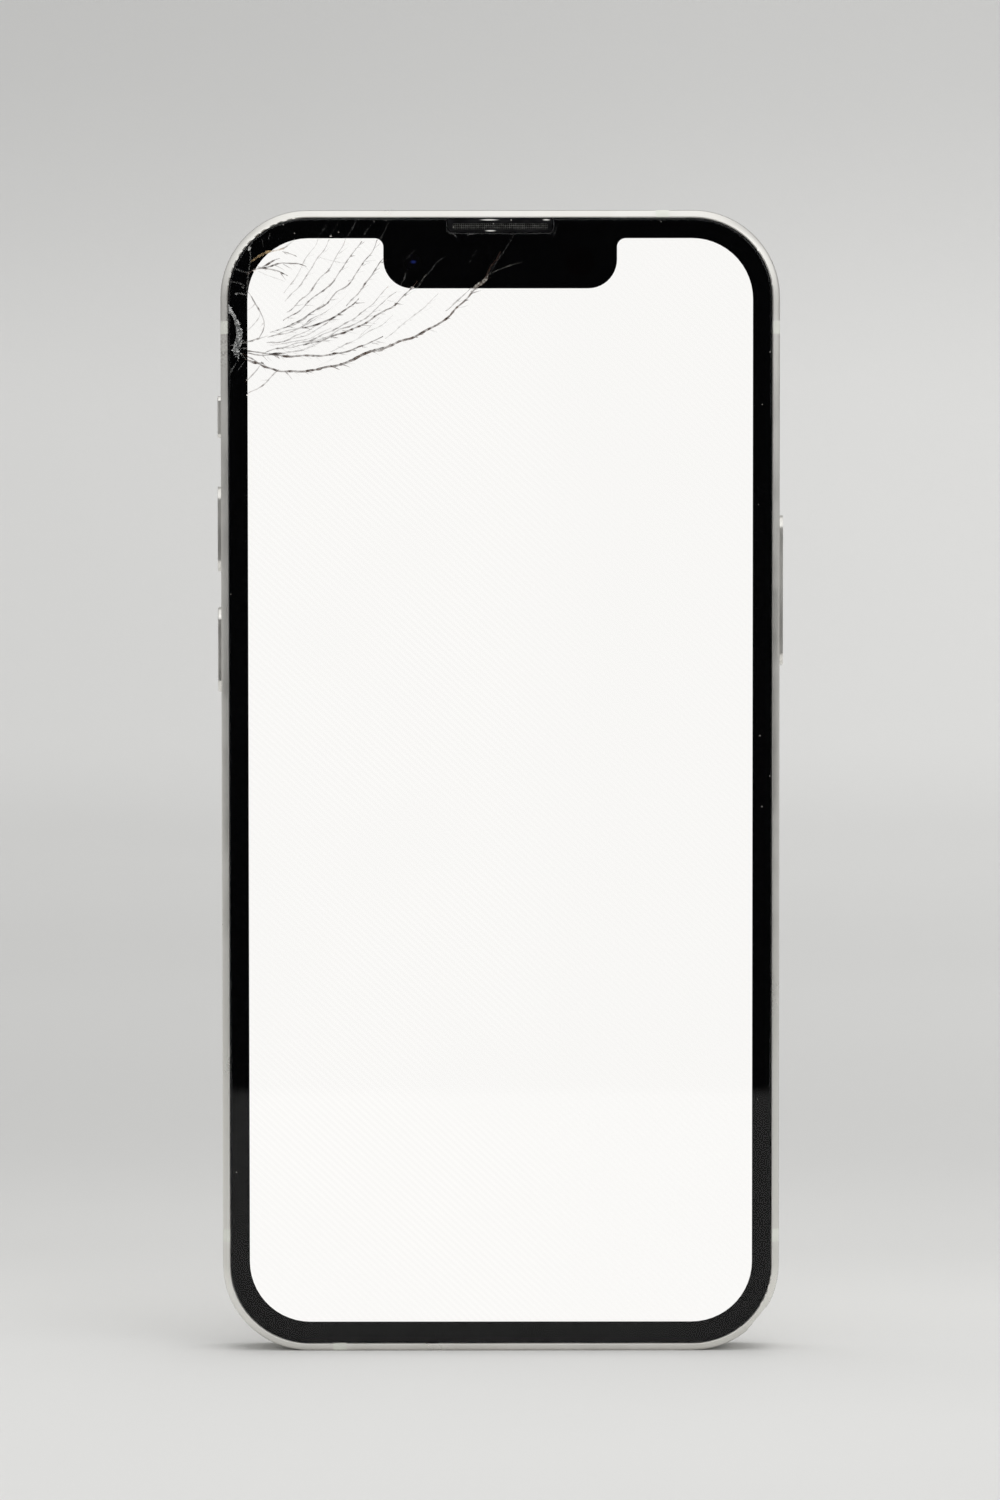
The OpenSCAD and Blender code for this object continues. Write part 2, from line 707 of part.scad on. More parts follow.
module key(s, y, l) color("#d8d6cc") stood() translate([0, y, 0]) mirror([s > 0 ? 0 : 1, 0, 0]) {
    along_x(flange_x + key_flange_t / 2, body_w / 2 + key_proud) pill(l, key_w);
    along_x(flange_x, flange_x + key_flange_t) pill(l + 2 * key_flange_lip, key_w + 2 * key_flange_lip);
    translate([flange_x - plunger_l, 0, 0]) rotate([0, 90, 0]) cylinder(r = plunger_r, h = plunger_l + 0.1);
}

module dome_switch(s, y) translate([0, y, 0]) mirror([s > 0 ? 0 : 1, 0, 0]) {
    translate([switch_x, 0, 0]) rotate([0, 90, 0]) cylinder(r = 1.3, h = switch_base_t + dome_h);
    box(switch_x, switch_x + switch_base_t, -2.2, 2.2, -1.5, 1.5);
}

// A channel whose ends stand on the wall
module bracket(s, y0, y1) mirror([s > 0 ? 0 : 1, 0, 0]) {
    box(bracket_x, bracket_x + bracket_t, y0, y1, -bracket_h / 2, bracket_h / 2);
    for (y = [y0, y1 - bracket_t]) box(bracket_x, inner_x, y, y + bracket_t, -bracket_h / 2, bracket_h / 2);
}

module power_button() key(1, power_y, power_len);
module volume_up_button() key(-1, volume_up_y, volume_len);
module volume_down_button() key(-1, volume_down_y, volume_len);
module power_switch() color("#b8b8b4") stood() dome_switch(1, power_y);
module volume_switches() color("#b8b8b4") stood() {
    dome_switch(-1, volume_up_y);
    dome_switch(-1, volume_down_y);
}
module power_bracket() color("silver") stood()
    bracket(1, power_y - power_len / 2 - 1.6, power_y + power_len / 2 + 1.6);
module volume_bracket() color("silver") stood()
    bracket(-1, volume_down_y - volume_len / 2 - 1.6, ring_y + ring_plate_l / 2 + 1.2);

ring_z = ring_travel / 2;
module ring_switch_lever() color("#d8d6cc") stood() translate([0, ring_y, ring_z]) mirror([1, 0, 0]) {
    along_x(flange_x + 0.1, body_w / 2 + key_proud) round_rect(ring_len, ring_lever_h, 0.55);
    along_x(flange_x, flange_x + key_flange_t) round_rect(ring_plate_l, ring_plate_h, 0.4);
}
module ring_switch_base() color("#3a3a3c") stood() mirror([1, 0, 0])
    box(switch_x, flange_x - 0.1, ring_y - 3.1, ring_y + 3.1, -1.7, 1.7);

// ---------- bottom of the phone ----------

module haptic_case() color("#c4c6c4") stood() difference() {
    box(haptic_x0, haptic_x1, haptic_y0, haptic_y1, room_floor + 0.05, room_top - 0.4);
    box(haptic_x0 + haptic_wall, haptic_x1 - haptic_wall, haptic_y0 + haptic_wall, haptic_y1 - haptic_wall,
        room_floor + 0.05 + haptic_wall, room_top - 0.4 - haptic_wall);
}

module haptic_mass() color("#8c8c90") stood()
    box(haptic_x0 + haptic_wall + haptic_travel + 0.3, haptic_x1 - haptic_wall - haptic_travel - 0.3,
        haptic_y0 + haptic_wall + 0.3, haptic_y1 - haptic_wall - 0.3,
        room_floor + 0.05 + haptic_wall + 0.3, room_top - 0.4 - haptic_wall - 0.3);

module loudspeaker() color("#232325") stood() {
    layer(room_floor + 0.05, room_top - 0.4)
        translate([(speaker_box_x0 + speaker_box_x1) / 2, (speaker_box_y0 + speaker_box_y1) / 2])
            round_rect(speaker_box_x1 - speaker_box_x0, speaker_box_y1 - speaker_box_y0, 2);
    box(grille_x0 - 1.2, grille_x0 + (grille_right - 1) * grille_pitch + 1.2, wall_t + 0.1, 6, -1.3, 1.3);
}

module bottom_microphone() color("#a8a8a4") stood()
    box(-grille_x0 - (grille_left - 1) * grille_pitch - 1.2, -grille_x0 + 1.2, wall_t + 0.1, 5, -1.2, 1.2);

module port_shell() color("#9c9c9a") stood() difference() {
    along_y(0.1, port_l) pill(port_w, port_h);
    along_y(-1, port_l - 0.5) pill(port_w - 2 * port_wall, port_h - 2 * port_wall);
}

module port_tongue() color("#1b1b1b") stood()
    box(-3.3, 3.3, 1.2, port_l - 0.5, -0.35, 0.35);

module port_body() color("#2a2a2a") stood() difference() {
    box(-5.2, 5.2, wall_t + 1.6, port_l + 1, room_floor + 0.3, 1.95);
    along_y(wall_t, port_l) pill(port_w, port_h);
}

module dock_flex() color("#8a5a20") stood() {
    z0 = room_floor + 0.1;
    box(-5, -2.5, 5, board_y0 + 3.8, z0, z0 + 0.2);
    box(-14, -2.5, board_y0 + 0.5, board_y0 + 3.8, z0, z0 + 0.2);
    box(-14, -9.5, board_y0 + 0.5, board_y0 + 3.8, z0 + 0.2, board_z0);
}

module bottom_screws() color("#d0cec4") stood() for (s = [-1, 1]) translate([s * screw_x, 0, 0]) {
    translate([0, 0.1, 0]) rotate([-90, 0, 0]) difference() {
        cylinder(r = screw_head_r, h = screw_head_t);
        translate([0, 0, -1]) cylinder(r = 0.42, h = 1.3, $fn = 5);
    }
    translate([0, 0.4, 0]) rotate([-90, 0, 0]) cylinder(r = screw_r, h = 4.0);
}

// ---------- nodes ----------

cover_glass();
black_border();
display_panel();
display_back_plate();
display_frame();
display_seal();
display_flex();
earpiece_bezel();
earpiece_mesh();
earpiece_speaker();
front_camera();
infrared_camera();
dot_projector();
front_sensor_bracket();
frame();
antenna_bands();
back_glass();
camera_ring(camera_y1);  // camera_ring_upper
camera_ring(camera_y0);  // camera_ring_lower
lens_cover(camera_y1);  // lens_cover_upper
lens_cover(camera_y0);  // lens_cover_lower
camera_module(camera_y1);  // camera_module_upper
camera_module(camera_y0);  // camera_module_lower
lens_barrel(camera_y1);  // lens_barrel_upper
lens_barrel(camera_y0);  // lens_barrel_lower
camera_bracket();
flash_lens();
flash_led();
battery();
battery_tab();
battery_adhesive();
main_board();
processor_shield();
radio_shield();
rear_shield();
board_screws();
sim_reader();
sim_tray();
sim_card();
power_button();
power_switch();
power_bracket();
volume_up_button();
volume_down_button();
volume_switches();
volume_bracket();
ring_switch_lever();
ring_switch_base();
haptic_case();
haptic_mass();
loudspeaker();
bottom_microphone();
port_shell();
port_tongue();
port_body();
dock_flex();
charging_coil();
bottom_screws();
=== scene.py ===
import math
import random

import bmesh
import bpy
from mathutils import Matrix, Vector, noise


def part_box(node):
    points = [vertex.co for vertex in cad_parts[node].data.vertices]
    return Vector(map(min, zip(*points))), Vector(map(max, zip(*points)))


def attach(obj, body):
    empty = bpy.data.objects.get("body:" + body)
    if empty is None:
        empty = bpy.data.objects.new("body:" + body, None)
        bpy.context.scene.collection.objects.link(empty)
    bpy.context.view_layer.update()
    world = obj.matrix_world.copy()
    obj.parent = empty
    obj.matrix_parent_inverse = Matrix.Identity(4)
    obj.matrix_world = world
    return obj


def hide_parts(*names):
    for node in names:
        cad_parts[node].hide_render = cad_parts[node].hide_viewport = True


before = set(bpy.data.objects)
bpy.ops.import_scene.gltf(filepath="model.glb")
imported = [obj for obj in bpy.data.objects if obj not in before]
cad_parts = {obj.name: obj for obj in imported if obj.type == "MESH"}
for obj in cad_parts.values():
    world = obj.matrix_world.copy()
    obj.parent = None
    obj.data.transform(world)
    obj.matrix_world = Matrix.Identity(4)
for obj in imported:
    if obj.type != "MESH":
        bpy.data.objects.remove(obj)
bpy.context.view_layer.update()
mm = 0.001
scene = bpy.context.scene
print("packed phone loaded:", len(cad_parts), "nodes")

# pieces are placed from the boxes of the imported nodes, and the damage from fixed places in mm
glassLow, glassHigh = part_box("cover_glass")
bandLow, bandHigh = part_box("frame")
glassFace = glassLow.y
phoneTop = bandHigh.z
frontward = (math.radians(90), 0, 0)


# small tools

def clearSelection():
    if bpy.context.object and bpy.context.object.mode != "OBJECT":
        bpy.ops.object.mode_set(mode="OBJECT")
    bpy.ops.object.select_all(action="DESELECT")


def makeActive(piece):
    clearSelection()
    piece.select_set(True)
    bpy.context.view_layer.objects.active = piece


def openMesh(piece):
    makeActive(piece)
    bpy.ops.object.mode_set(mode="EDIT")
    bpy.ops.mesh.select_all(action="DESELECT")
    return bmesh.from_edit_mesh(piece.data)


def closeMesh():
    bpy.ops.object.mode_set(mode="OBJECT")


def pickEdges(piece, test):
    # selects edges by their middle and direction, ready for an edit operator
    shape = openMesh(piece)
    bpy.ops.mesh.select_mode(type="EDGE")
    for edge in shape.edges:
        a, b = edge.verts[0].co, edge.verts[1].co
        edge.select = bool(test((a + b) / 2, (b - a).normalized()))
    shape.select_flush_mode()
    bmesh.update_edit_mesh(piece.data)


def addModifier(piece, kind, **settings):
    modifier = piece.modifiers.new(kind.title(), kind)
    for name, value in settings.items():
        setattr(modifier, name, value)
    makeActive(piece)
    bpy.ops.object.modifier_apply(modifier=modifier.name)


def bakePlace(piece):
    makeActive(piece)
    bpy.ops.object.transform_apply(location=True, rotation=True, scale=True)


def smoothBy(piece, degrees=35):
    makeActive(piece)
    bpy.ops.object.shade_smooth_by_angle(angle=math.radians(degrees))


def evenShading(piece, degrees=35):
    # smooth shading in which the large flat faces stay flat
    smoothBy(piece, degrees)
    addModifier(piece, "WEIGHTED_NORMAL", keep_sharp=True, weight=90)


def startBlock(name, low, high):
    # a block between two corners, with its place in its mesh
    clearSelection()
    low, high = Vector(low), Vector(high)
    bpy.ops.mesh.primitive_cube_add(size=1, location=(low + high) / 2, scale=high - low)
    return keepNew(name)


def startDisc(name, centre, radius, thickness, segments=64):
    # a flat drum whose axis runs front to back
    clearSelection()
    bpy.ops.mesh.primitive_cylinder_add(vertices=segments, radius=radius, depth=thickness,
                                        location=centre, rotation=frontward)
    return keepNew(name)


def startDome(name, centre, radius, rise, segments=48):
    # a flattened ball that faces front to back
    clearSelection()
    bpy.ops.mesh.primitive_uv_sphere_add(segments=segments, ring_count=segments // 2, radius=radius,
                                         location=centre, rotation=frontward, scale=(1, 1, rise / radius))
    piece = keepNew(name)
    smoothBy(piece, 60)
    return piece


def roundCorners(piece, radius, segments=20):
    # rounds the edges that run front to back
    pickEdges(piece, lambda middle, way: abs(way.y) > 0.99)
    bpy.ops.mesh.bevel(offset=radius, segments=segments, affect="EDGES")
    closeMesh()


def roundRim(piece, depth, width, segments=4):
    # rounds the outline of the flat face that lies at one depth
    pickEdges(piece, lambda middle, way: abs(middle.y - depth) < 0.002 * mm)
    bpy.ops.mesh.bevel(offset=width, segments=segments, affect="EDGES")
    closeMesh()


def refinedCopy(name, node, bevel=0.0, segments=3, limit=30):
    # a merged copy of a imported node, with its sharp edges broken
    clearSelection()
    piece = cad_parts[node].copy()
    piece.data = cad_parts[node].data.copy()
    for key in list(piece.keys()):
        del piece[key]
    piece.parent = None
    piece.matrix_world = Matrix.Identity(4)
    piece.name = name
    scene.collection.objects.link(piece)
    openMesh(piece)
    bpy.ops.mesh.select_all(action="SELECT")
    bpy.ops.mesh.remove_doubles(threshold=0.0005 * mm)
    bpy.ops.mesh.dissolve_limited(angle_limit=math.radians(0.6))
    closeMesh()
    if bevel:
        addModifier(piece, "BEVEL", width=bevel, segments=segments, limit_method="ANGLE",
                    angle_limit=math.radians(limit), use_clamp_overlap=True)
    evenShading(piece)
    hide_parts(node)
    return piece


def keepShape(name, shape):
    # a finished bmesh becomes a piece of the scene
    mesh = bpy.data.meshes.new(name)
    shape.to_mesh(mesh)
    shape.free()
    piece = bpy.data.objects.new(name, mesh)
    scene.collection.objects.link(piece)
    return piece


def keepNew(name):
    # names the piece that was just added, and puts its place in its mesh
    piece = bpy.context.object
    piece.name = name
    bakePlace(piece)
    return piece


def cutAway(piece, cutter):
    addModifier(piece, "BOOLEAN", operation="DIFFERENCE", solver="EXACT", object=cutter)
    bpy.data.objects.remove(cutter)


def putFinish(piece, finish):
    piece.data.materials.clear()
    piece.data.materials.append(finish)


def dress(piece, finish, body="phone"):
    putFinish(piece, finish)
    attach(piece, body)
    return piece


# finishes

def newFinish(name, **sockets):
    # a Principled finish; each name is the socket's name without spaces
    finish = bpy.data.materials.new(name)
    finish.use_nodes = True
    tree = finish.node_tree
    surface = tree.nodes["Principled BSDF"]
    plain = {socket.name.replace(" ", "").lower(): socket for socket in surface.inputs}
    for key, value in sockets.items():
        plain[key.lower()].default_value = value
    place = tree.nodes.new("ShaderNodeTexCoord")
    return finish, tree, surface, place.outputs["Object"]


def stretched(tree, place, scale=(1, 1, 1), turn=(0, 0, 0), shift=(0, 0, 0)):
    mapping = tree.nodes.new("ShaderNodeMapping")
    mapping.inputs["Scale"].default_value = scale
    mapping.inputs["Rotation"].default_value = turn
    mapping.inputs["Location"].default_value = shift
    tree.links.new(place, mapping.inputs["Vector"])
    return mapping.outputs["Vector"]


def cloud(tree, place, size, detail=3.0, rough=0.55):
    # noise whose blobs are about size across
    texture = tree.nodes.new("ShaderNodeTexNoise")
    texture.inputs["Scale"].default_value = 1 / size
    texture.inputs["Detail"].default_value = detail
    texture.inputs["Roughness"].default_value = rough
    tree.links.new(place, texture.inputs["Vector"])
    return texture.outputs["Fac"]


def stripes(tree, place, pitch, direction="X", kind="BANDS", profile="SIN"):
    texture = tree.nodes.new("ShaderNodeTexWave")
    texture.wave_type = kind
    if kind == "BANDS":
        texture.bands_direction = direction
    else:
        texture.rings_direction = direction
    texture.wave_profile = profile
    texture.inputs["Scale"].default_value = math.pi / 10 / pitch
    tree.links.new(place, texture.inputs["Vector"])
    return texture.outputs["Fac"]


def cells(tree, place, size, feature="F1", output="Distance"):
    texture = tree.nodes.new("ShaderNodeTexVoronoi")
    texture.feature = feature
    texture.inputs["Scale"].default_value = 1 / size
    tree.links.new(place, texture.inputs["Vector"])
    return texture.outputs[output]


def paint(tree, surface, color, rough=None):
    # links a colour, and a roughness where it varies
    tree.links.new(color, surface.inputs["Base Color"])
    if rough is not None:
        tree.links.new(rough, surface.inputs["Roughness"])


def fade(tree, value, low, high, start=0.0, end=1.0):
    # maps low..high to start..end, softly and held at both ends
    node = tree.nodes.new("ShaderNodeMapRange")
    node.interpolation_type = "SMOOTHSTEP"
    for name, number in (("From Min", low), ("From Max", high), ("To Min", start), ("To Max", end)):
        node.inputs[name].default_value = number
    tree.links.new(value, node.inputs["Value"])
    return node.outputs["Result"]


def maths(tree, action, first, second=0.0):
    node = tree.nodes.new("ShaderNodeMath")
    node.operation = action
    for socket, value in zip(node.inputs, (first, second)):
        if isinstance(value, (int, float)):
            socket.default_value = value
        else:
            tree.links.new(value, socket)
    return node.outputs[0]


def mixed(tree, amount, first, second):
    node = tree.nodes.new("ShaderNodeMix")
    node.data_type = "RGBA"
    for socket, value in zip((node.inputs[0], node.inputs[6], node.inputs[7]), (amount, first, second)):
        if isinstance(value, (int, float)):
            socket.default_value = value
        elif isinstance(value, tuple):
            socket.default_value = value if len(value) == 4 else (*value, 1)
        else:
            tree.links.new(value, socket)
    return node.outputs[2]


def raised(tree, surface, height, depth, strength=1.0):
    node = tree.nodes.new("ShaderNodeBump")
    node.inputs["Strength"].default_value = strength
    node.inputs["Distance"].default_value = depth
    tree.links.new(height, node.inputs["Height"])
    tree.links.new(node.outputs["Normal"], surface.inputs["Normal"])


def spotMask(tree, place, centre, near, far):
    # 1 inside near, fading to 0 at far, round a point
    node = tree.nodes.new("ShaderNodeVectorMath")
    node.operation = "DISTANCE"
    node.inputs[1].default_value = centre
    tree.links.new(place, node.inputs[0])
    return fade(tree, node.outputs["Value"], near, far, 1.0, 0.0)


def axisValue(tree, place, axis):
    node = tree.nodes.new("ShaderNodeSeparateXYZ")
    tree.links.new(place, node.inputs[0])
    return node.outputs[axis]


def simpleFinish(name, look):
    # two close colours in patches, a roughness that wanders, and a fine grain
    finish, tree, surface, place = newFinish(name, metallic=look.get("metal", 0.0),
                                             specularIORLevel=look.get("shine", 0.5),
                                             coatweight=look.get("coat", 0.0))
    patches = cloud(tree, place, look.get("patch", 4 * mm))
    grain = cloud(tree, place, look.get("grain", 0.12 * mm), 2.0)
    paint(tree, surface, mixed(tree, fade(tree, patches, 0.35, 0.65), look["color"], look["tint"]),
          fade(tree, patches, 0.3, 0.7, *look["rough"]))
    raised(tree, surface, grain, look.get("depth", 0.004 * mm), look.get("strength", 0.5))
    return finish


# the cracked front glass: a clear slab with rounded edges and a cut for the earpiece
coverGlass = {"corner": 9.08 * mm, "edge": 0.24 * mm, "backDepth": 0.77 * mm, "earWidth": 12.0 * mm,
              "earDrop": 1.6 * mm, "earCorner": 0.45 * mm, "ior": 1.36, "clear": (0.985, 0.99, 0.99, 1)}


def makeCoverGlass():
    low, high = glassLow.copy(), glassHigh.copy()
    high.y = glassFace + coverGlass["backDepth"]
    piece = startBlock("coverGlass", low, high)
    roundCorners(piece, coverGlass["corner"], 32)
    aside, foot = coverGlass["earWidth"] / 2, high.z - coverGlass["earDrop"]
    cutter = startBlock("earCutter", (-aside, glassFace - 2 * mm, foot),
                        (aside, glassFace + 3 * mm, high.z + 2 * mm))
    roundCorners(cutter, coverGlass["earCorner"], 6)
    cutAway(piece, cutter)
    roundRim(piece, glassFace, coverGlass["edge"], 5)
    evenShading(piece, 40)
    finish, tree, surface, place = newFinish("crackedClearGlass", transmissionweight=1.0,
                                             ior=coverGlass["ior"], basecolor=coverGlass["clear"])
    film = cloud(tree, place, 9 * mm, 4.0)
    tree.links.new(fade(tree, film, 0.25, 0.8, 0.006, 0.03), surface.inputs["Roughness"])
    dress(piece, finish)
    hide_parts("cover_glass")
    piece.visible_shadow = False
    return piece


# the lit picture, just in front of the display panel
picture = {"side": 29.5 * mm, "bottom": 2.95 * mm, "top": 2.8 * mm, "depth": 0.725 * mm, "corner": 7.3 * mm,
           "notchSide": 12.9 * mm, "notchFoot": 123.05 * mm, "notchCorner": 3 * mm,
           "light": (0.966, 0.955, 0.938, 1), "ripple": 0.608 * mm, "slant": 47, "rippleFrom": 12 * mm,
           "rippleTo": -3 * mm, "thickness": 0.02 * mm}


def makePicture():
    front = glassFace + picture["depth"]
    piece = startBlock("litPicture", (-picture["side"], front, picture["bottom"]),
                       (picture["side"], front + picture["thickness"], phoneTop - picture["top"]))
    roundCorners(piece, picture["corner"], 24)
    cutter = startBlock("notchCutter", (-picture["notchSide"], glassFace - mm, picture["notchFoot"]),
                        (picture["notchSide"], glassFace + 2 * mm, phoneTop))
    roundCorners(cutter, picture["notchCorner"], 10)
    cutAway(piece, cutter)
    finish, tree, surface, place = newFinish("litWhitePicture", emissioncolor=picture["light"],
                                             emissionstrength=1.0, roughness=0.7, specularIORLevel=0.0)
    slanted = stretched(tree, place, turn=(0, math.radians(picture["slant"]), 0))
    ripple = stripes(tree, slanted, picture["ripple"], "X")
    drift = cloud(tree, place, 22 * mm, 1.0)
    spread = fade(tree, axisValue(tree, place, 0), picture["rippleFrom"], picture["rippleTo"], 0.45, 1.0)
    uneven = maths(tree, "MULTIPLY", spread, fade(tree, drift, 0.3, 0.6, 0.55, 1.0))
    faint = maths(tree, "MULTIPLY", ripple, uneven)
    paint(tree, surface, mixed(tree, faint, (0.0, 0.0, 0.0), (0.04, 0.04, 0.038)))
    return dress(piece, finish)


# strong cracks, in mm and degrees: width, darkness, start, first heading, then legs (last heading, length)
crackRows = (
    (0.2, 0.95, (-29.5, 115.2), -45, ((-5, 5), (24, 8), (14, 4), (46, 11), (62, 7))),
    (0.1, 0.5, (-6.2, 119.9), 42, ((48, 4),)),
    (0.22, 1.0, (-29.3, 114.5), -20, ((0, 2.2),)),
    (0.13, 0.78, (-29, 115.1), -12, ((12, 4.4),)),
    (0.15, 0.75, (-29, 115.4), -8, ((-2, 6), (8, 4), (30, 6))),
    (0.1, 0.55, (-15, 115.5), -15, ((45, 2.7),)),
    (0.13, 0.7, (-22.6, 116), 12, ((30, 8.3), (48, 7))),
    (0.09, 0.35, (-13.2, 116.8), 36, ((44, 8),)),
    (0.09, 0.45, (-25.6, 115.6), 8, ((24, 7.5), (46, 8))),
    (0.1, 0.5, (-27, 115.4), 8, ((25, 8), (52, 8.5))),
    (0.14, 0.75, (-22.7, 118), 15, ((38, 7.4),)),
    (0.1, 0.62, (-17.7, 120.6), 45, ((56, 7),)),
    (0.08, 0.38, (-19.5, 115.4), 22, ((36, 8.3),)),
    (0.05, 0.2, (-21, 113.5), 26, ((36, 3.4),)),
    (0.06, 0.3, (-16.4, 117), 38, ((44, 3.4),)),
    (0.12, 0.72, (-29, 124.2), 28, ((-14, 7),)),
    (0.11, 0.7, (-27.3, 125), 28, ((24, 2.3),)),
    (0.11, 0.7, (-27.8, 124.9), 2, ((-30, 3.6),)),
    (0.09, 0.6, (-25, 126.8), -15, ((-18, 1.8),)),
    (0.06, 0.3, (-20.7, 126.1), -22, ((-8, 3.2),)),
    (0.06, 0.32, (-27.7, 124.5), -18, ((-24, 3.2),)),
    (0.11, 0.6, (-29, 122.3), -50, ((-72, 3.6), (-130, 2.4))),
    (0.07, 0.3, (-29, 120.1), 50, ((44, 1.3),)),
    (0.08, 0.35, (-29, 117.8), 40, ((62, 2.2),)),
    (0.09, 0.45, (-29, 116.7), 6, ((22, 2.4),)),
    (0.11, 0.55, (-27.6, 113.7), -122, ((-144, 2.5),)),
    (0.11, 0.55, (-25.4, 113.3), -130, ((-152, 4.7),)),
    (0.1, 0.6, (-25.3, 127), 20, ((32, 1),)),
)
# cracks that repeat: each value runs evenly from the first of its pair to the second
crackFans = (
    {"count": 5, "width": (0.1, 0.06), "dark": (0.7, 0.36), "start": ((-24.8, 118), (-24.5, 122.1)),
     "heading": (22, 54), "leaving": (62, 64), "length": (15, 7.2), "loose": 0.25, "crosses": True},
    {"count": 8, "width": (0.08, 0.07), "dark": (0.5, 0.36), "start": ((-26.8, 117.2), (-26.4, 115.1)),
     "heading": (12, 0), "leaving": (42, 27), "length": (6.8, 7.4), "loose": 0.6, "crosses": False},
)
# pale stretches over the black print, where broken faces catch the light: a warmth stands after the darkness
paleRows = (
    (0.14, 0.45, 0.2, (-28.6, 127.5), -95, ((-92, 6.2),)),
    (0.2, 0.75, 1.0, (-28.6, 125.6), 42, ((8, 3.2),)),
    (0.16, 0.8, 1.0, (-26.2, 126.9), 12, ((4, 1.5),)),
    (0.14, 0.7, 0.3, (-24.9, 127.2), 30, ((36, 1.7),)),
    (0.3, 1.0, 0.1, (-29, 127), 52, ((56, 0.5),)),
    (0.13, 0.45, 0.1, (-30.8, 125), -14, ((-22, 2.2),)),
    (0.16, 0.5, 0.0, (-31, 123.3), 2, ((-35, 1.8),)),
    (0.2, 0.7, 0.0, (-29.6, 122.8), -20, ((-24, 0.3),)),
    (0.16, 0.6, 0.1, (-30.4, 122), 0, ((-20, 1.5),)),
    (0.1, 0.3, 0.1, (-27.3, 128.2), -80, ((-84, 1),)),
    (0.11, 0.35, 0.1, (-26.3, 128.9), -102, ((-98, 1),)),
    (0.12, 0.4, 0.2, (-31.2, 120.2), -50, ((-88, 3.6),)),
    (0.13, 0.5, 0.3, (-30.1, 116.2), 14, ((10, 1.8),)),
    (0.13, 0.5, 0.2, (-30, 115.7), 0, ((2, 1.1),)),
    (0.12, 0.4, 0.2, (-31, 116.1), -4, ((-60, 1.4), (-34, 1.6))),
    (0.12, 0.38, 0.1, (-30.4, 114.2), -122, ((-112, 1.5),)),
    (0.1, 0.35, 0.0, (-29.4, 114.2), -132, ((-120, 1.2),)),
    (0.12, 0.3, 0.2, (-11.6, 123), 56, ((62, 1.8),)),
    (0.12, 0.4, 0.4, (-10.4, 122), 42, ((52, 3),)),
    (0.1, 0.3, 0.1, (-8.4, 124.1), 50, ((36, 3.2),)),
    (0.09, 0.2, 0.0, (-11, 125.6), 54, ((52, 2),)),
    (0.28, 0.85, 0.5, (-3.4, 122.2), 42, ((40, 2.4),)),
    (0.2, 0.7, 0.4, (-2, 123.1), 46, ((44, 1),)),
    (0.1, 0.3, 0.2, (-1.6, 124), 48, ((66, 5.6),)),
    (0.13, 0.45, 0.4, (-1.6, 123.8), 34, ((12, 4.5),)),
    (0.08, 0.2, 0.0, (-3.5, 125.4), 62, ((58, 2),)),
    (0.16, 0.55, 0.0, (-3.8, 128.7), 20, ((0, 0.8),)),
    (0.1, 0.3, 0.0, (-5, 128.3), 122, ((120, 1),)),
    (0.09, 0.25, 0.0, (6.8, 130), -116, ((-120, 1.7),)),
)
crackLook = {"step": 0.3, "paleStep": 0.15, "wobble": 0.035, "widen": 0.045, "wander": 0.3, "deepest": 0.9,
             "deepen": 2.2, "depths": (0.04, 0.55), "paleDepths": (0.03, 0.3), "ragged": 1.7, "fine": 6,
             "drift": 0.45, "spurEvery": (0.45, 1.4), "spurLength": (0.3, 1.3), "spurTurn": (-48, -22),
             "spurFrom": -27.5, "spurWidth": 0.75, "hairlines": 18, "hairWidth": 0.03, "hairDark": (0.14, 0.32),
             "runOn": 2.4, "runOnWidth": 0.1, "runOnDark": 0.45, "runOnBend": 8, "seed": 11}
# edges of the black print, in mm
printEdge = {"side": 29.0, "top": 128.4, "corner": 7.0, "notchSide": 13.4, "notchBottom": 122.5}


def bentRoute(start, heading, legs, step):
    # walks along a crack: each leg turns steadily to its last heading
    spot = Vector(start)
    route = [spot.copy()]
    for leaving, length in legs:
        count = max(2, round(length / step))
        for i in range(count):
            angle = math.radians(heading + (leaving - heading) * (i + 0.5) / count)
            spot = spot + Vector((math.cos(angle), math.sin(angle))) * length / count
            route.append(spot.copy())
        heading = leaving
    return route


def between(pair, t):
    return pair[0] + (pair[1] - pair[0]) * t


def crackCourses():
    # each dark crack: its width, darkness, route, and its last heading if it runs on over the print
    rng = random.Random(crackLook["seed"] + 2)
    courses = []
    for width, dark, start, heading, legs in crackRows:
        courses.append((width, dark, bentRoute(start, heading, legs, crackLook["step"]), None))
    for fan in crackFans:
        starts = [Vector(start) for start in fan["start"]]
        for i in range(fan["count"]):
            t = i / (fan["count"] - 1)
            start = between(starts, t) + Vector((rng.uniform(-1, 1), rng.uniform(-1, 1))) * fan["loose"]
            leaving = between(fan["leaving"], t) + rng.uniform(-4, 4) * fan["loose"]
            length = between(fan["length"], t) + rng.uniform(-1, 1) * fan["loose"]
            route = bentRoute(start, between(fan["heading"], t), ((leaving, length),), crackLook["step"])
            onward = leaving if fan["crosses"] else None
            courses.append((between(fan["width"], t), between(fan["dark"], t), route, onward))
    return courses


def overPrint(spot):
    across, up = abs(spot.x), spot.y
    corner = printEdge["corner"]
    outwards = across - (printEdge["side"] - corner)
    upwards = up - (printEdge["top"] - corner)
    if outwards > 0 and upwards > 0 and math.hypot(outwards, upwards) > corner:
        return True
    inNotch = across < printEdge["notchSide"] and up > printEdge["notchBottom"]
    return across > printEdge["side"] or up > printEdge["top"] or inNotch


def noiseAt(point, pitch, offset, layer):
    return noise.noise(Vector((point.x * pitch + offset, point.y * pitch, layer)))


def mainTaper(t):
    return 0.35 + 0.65 * math.sin(math.pi * min(1, 0.15 + 0.8 * t))


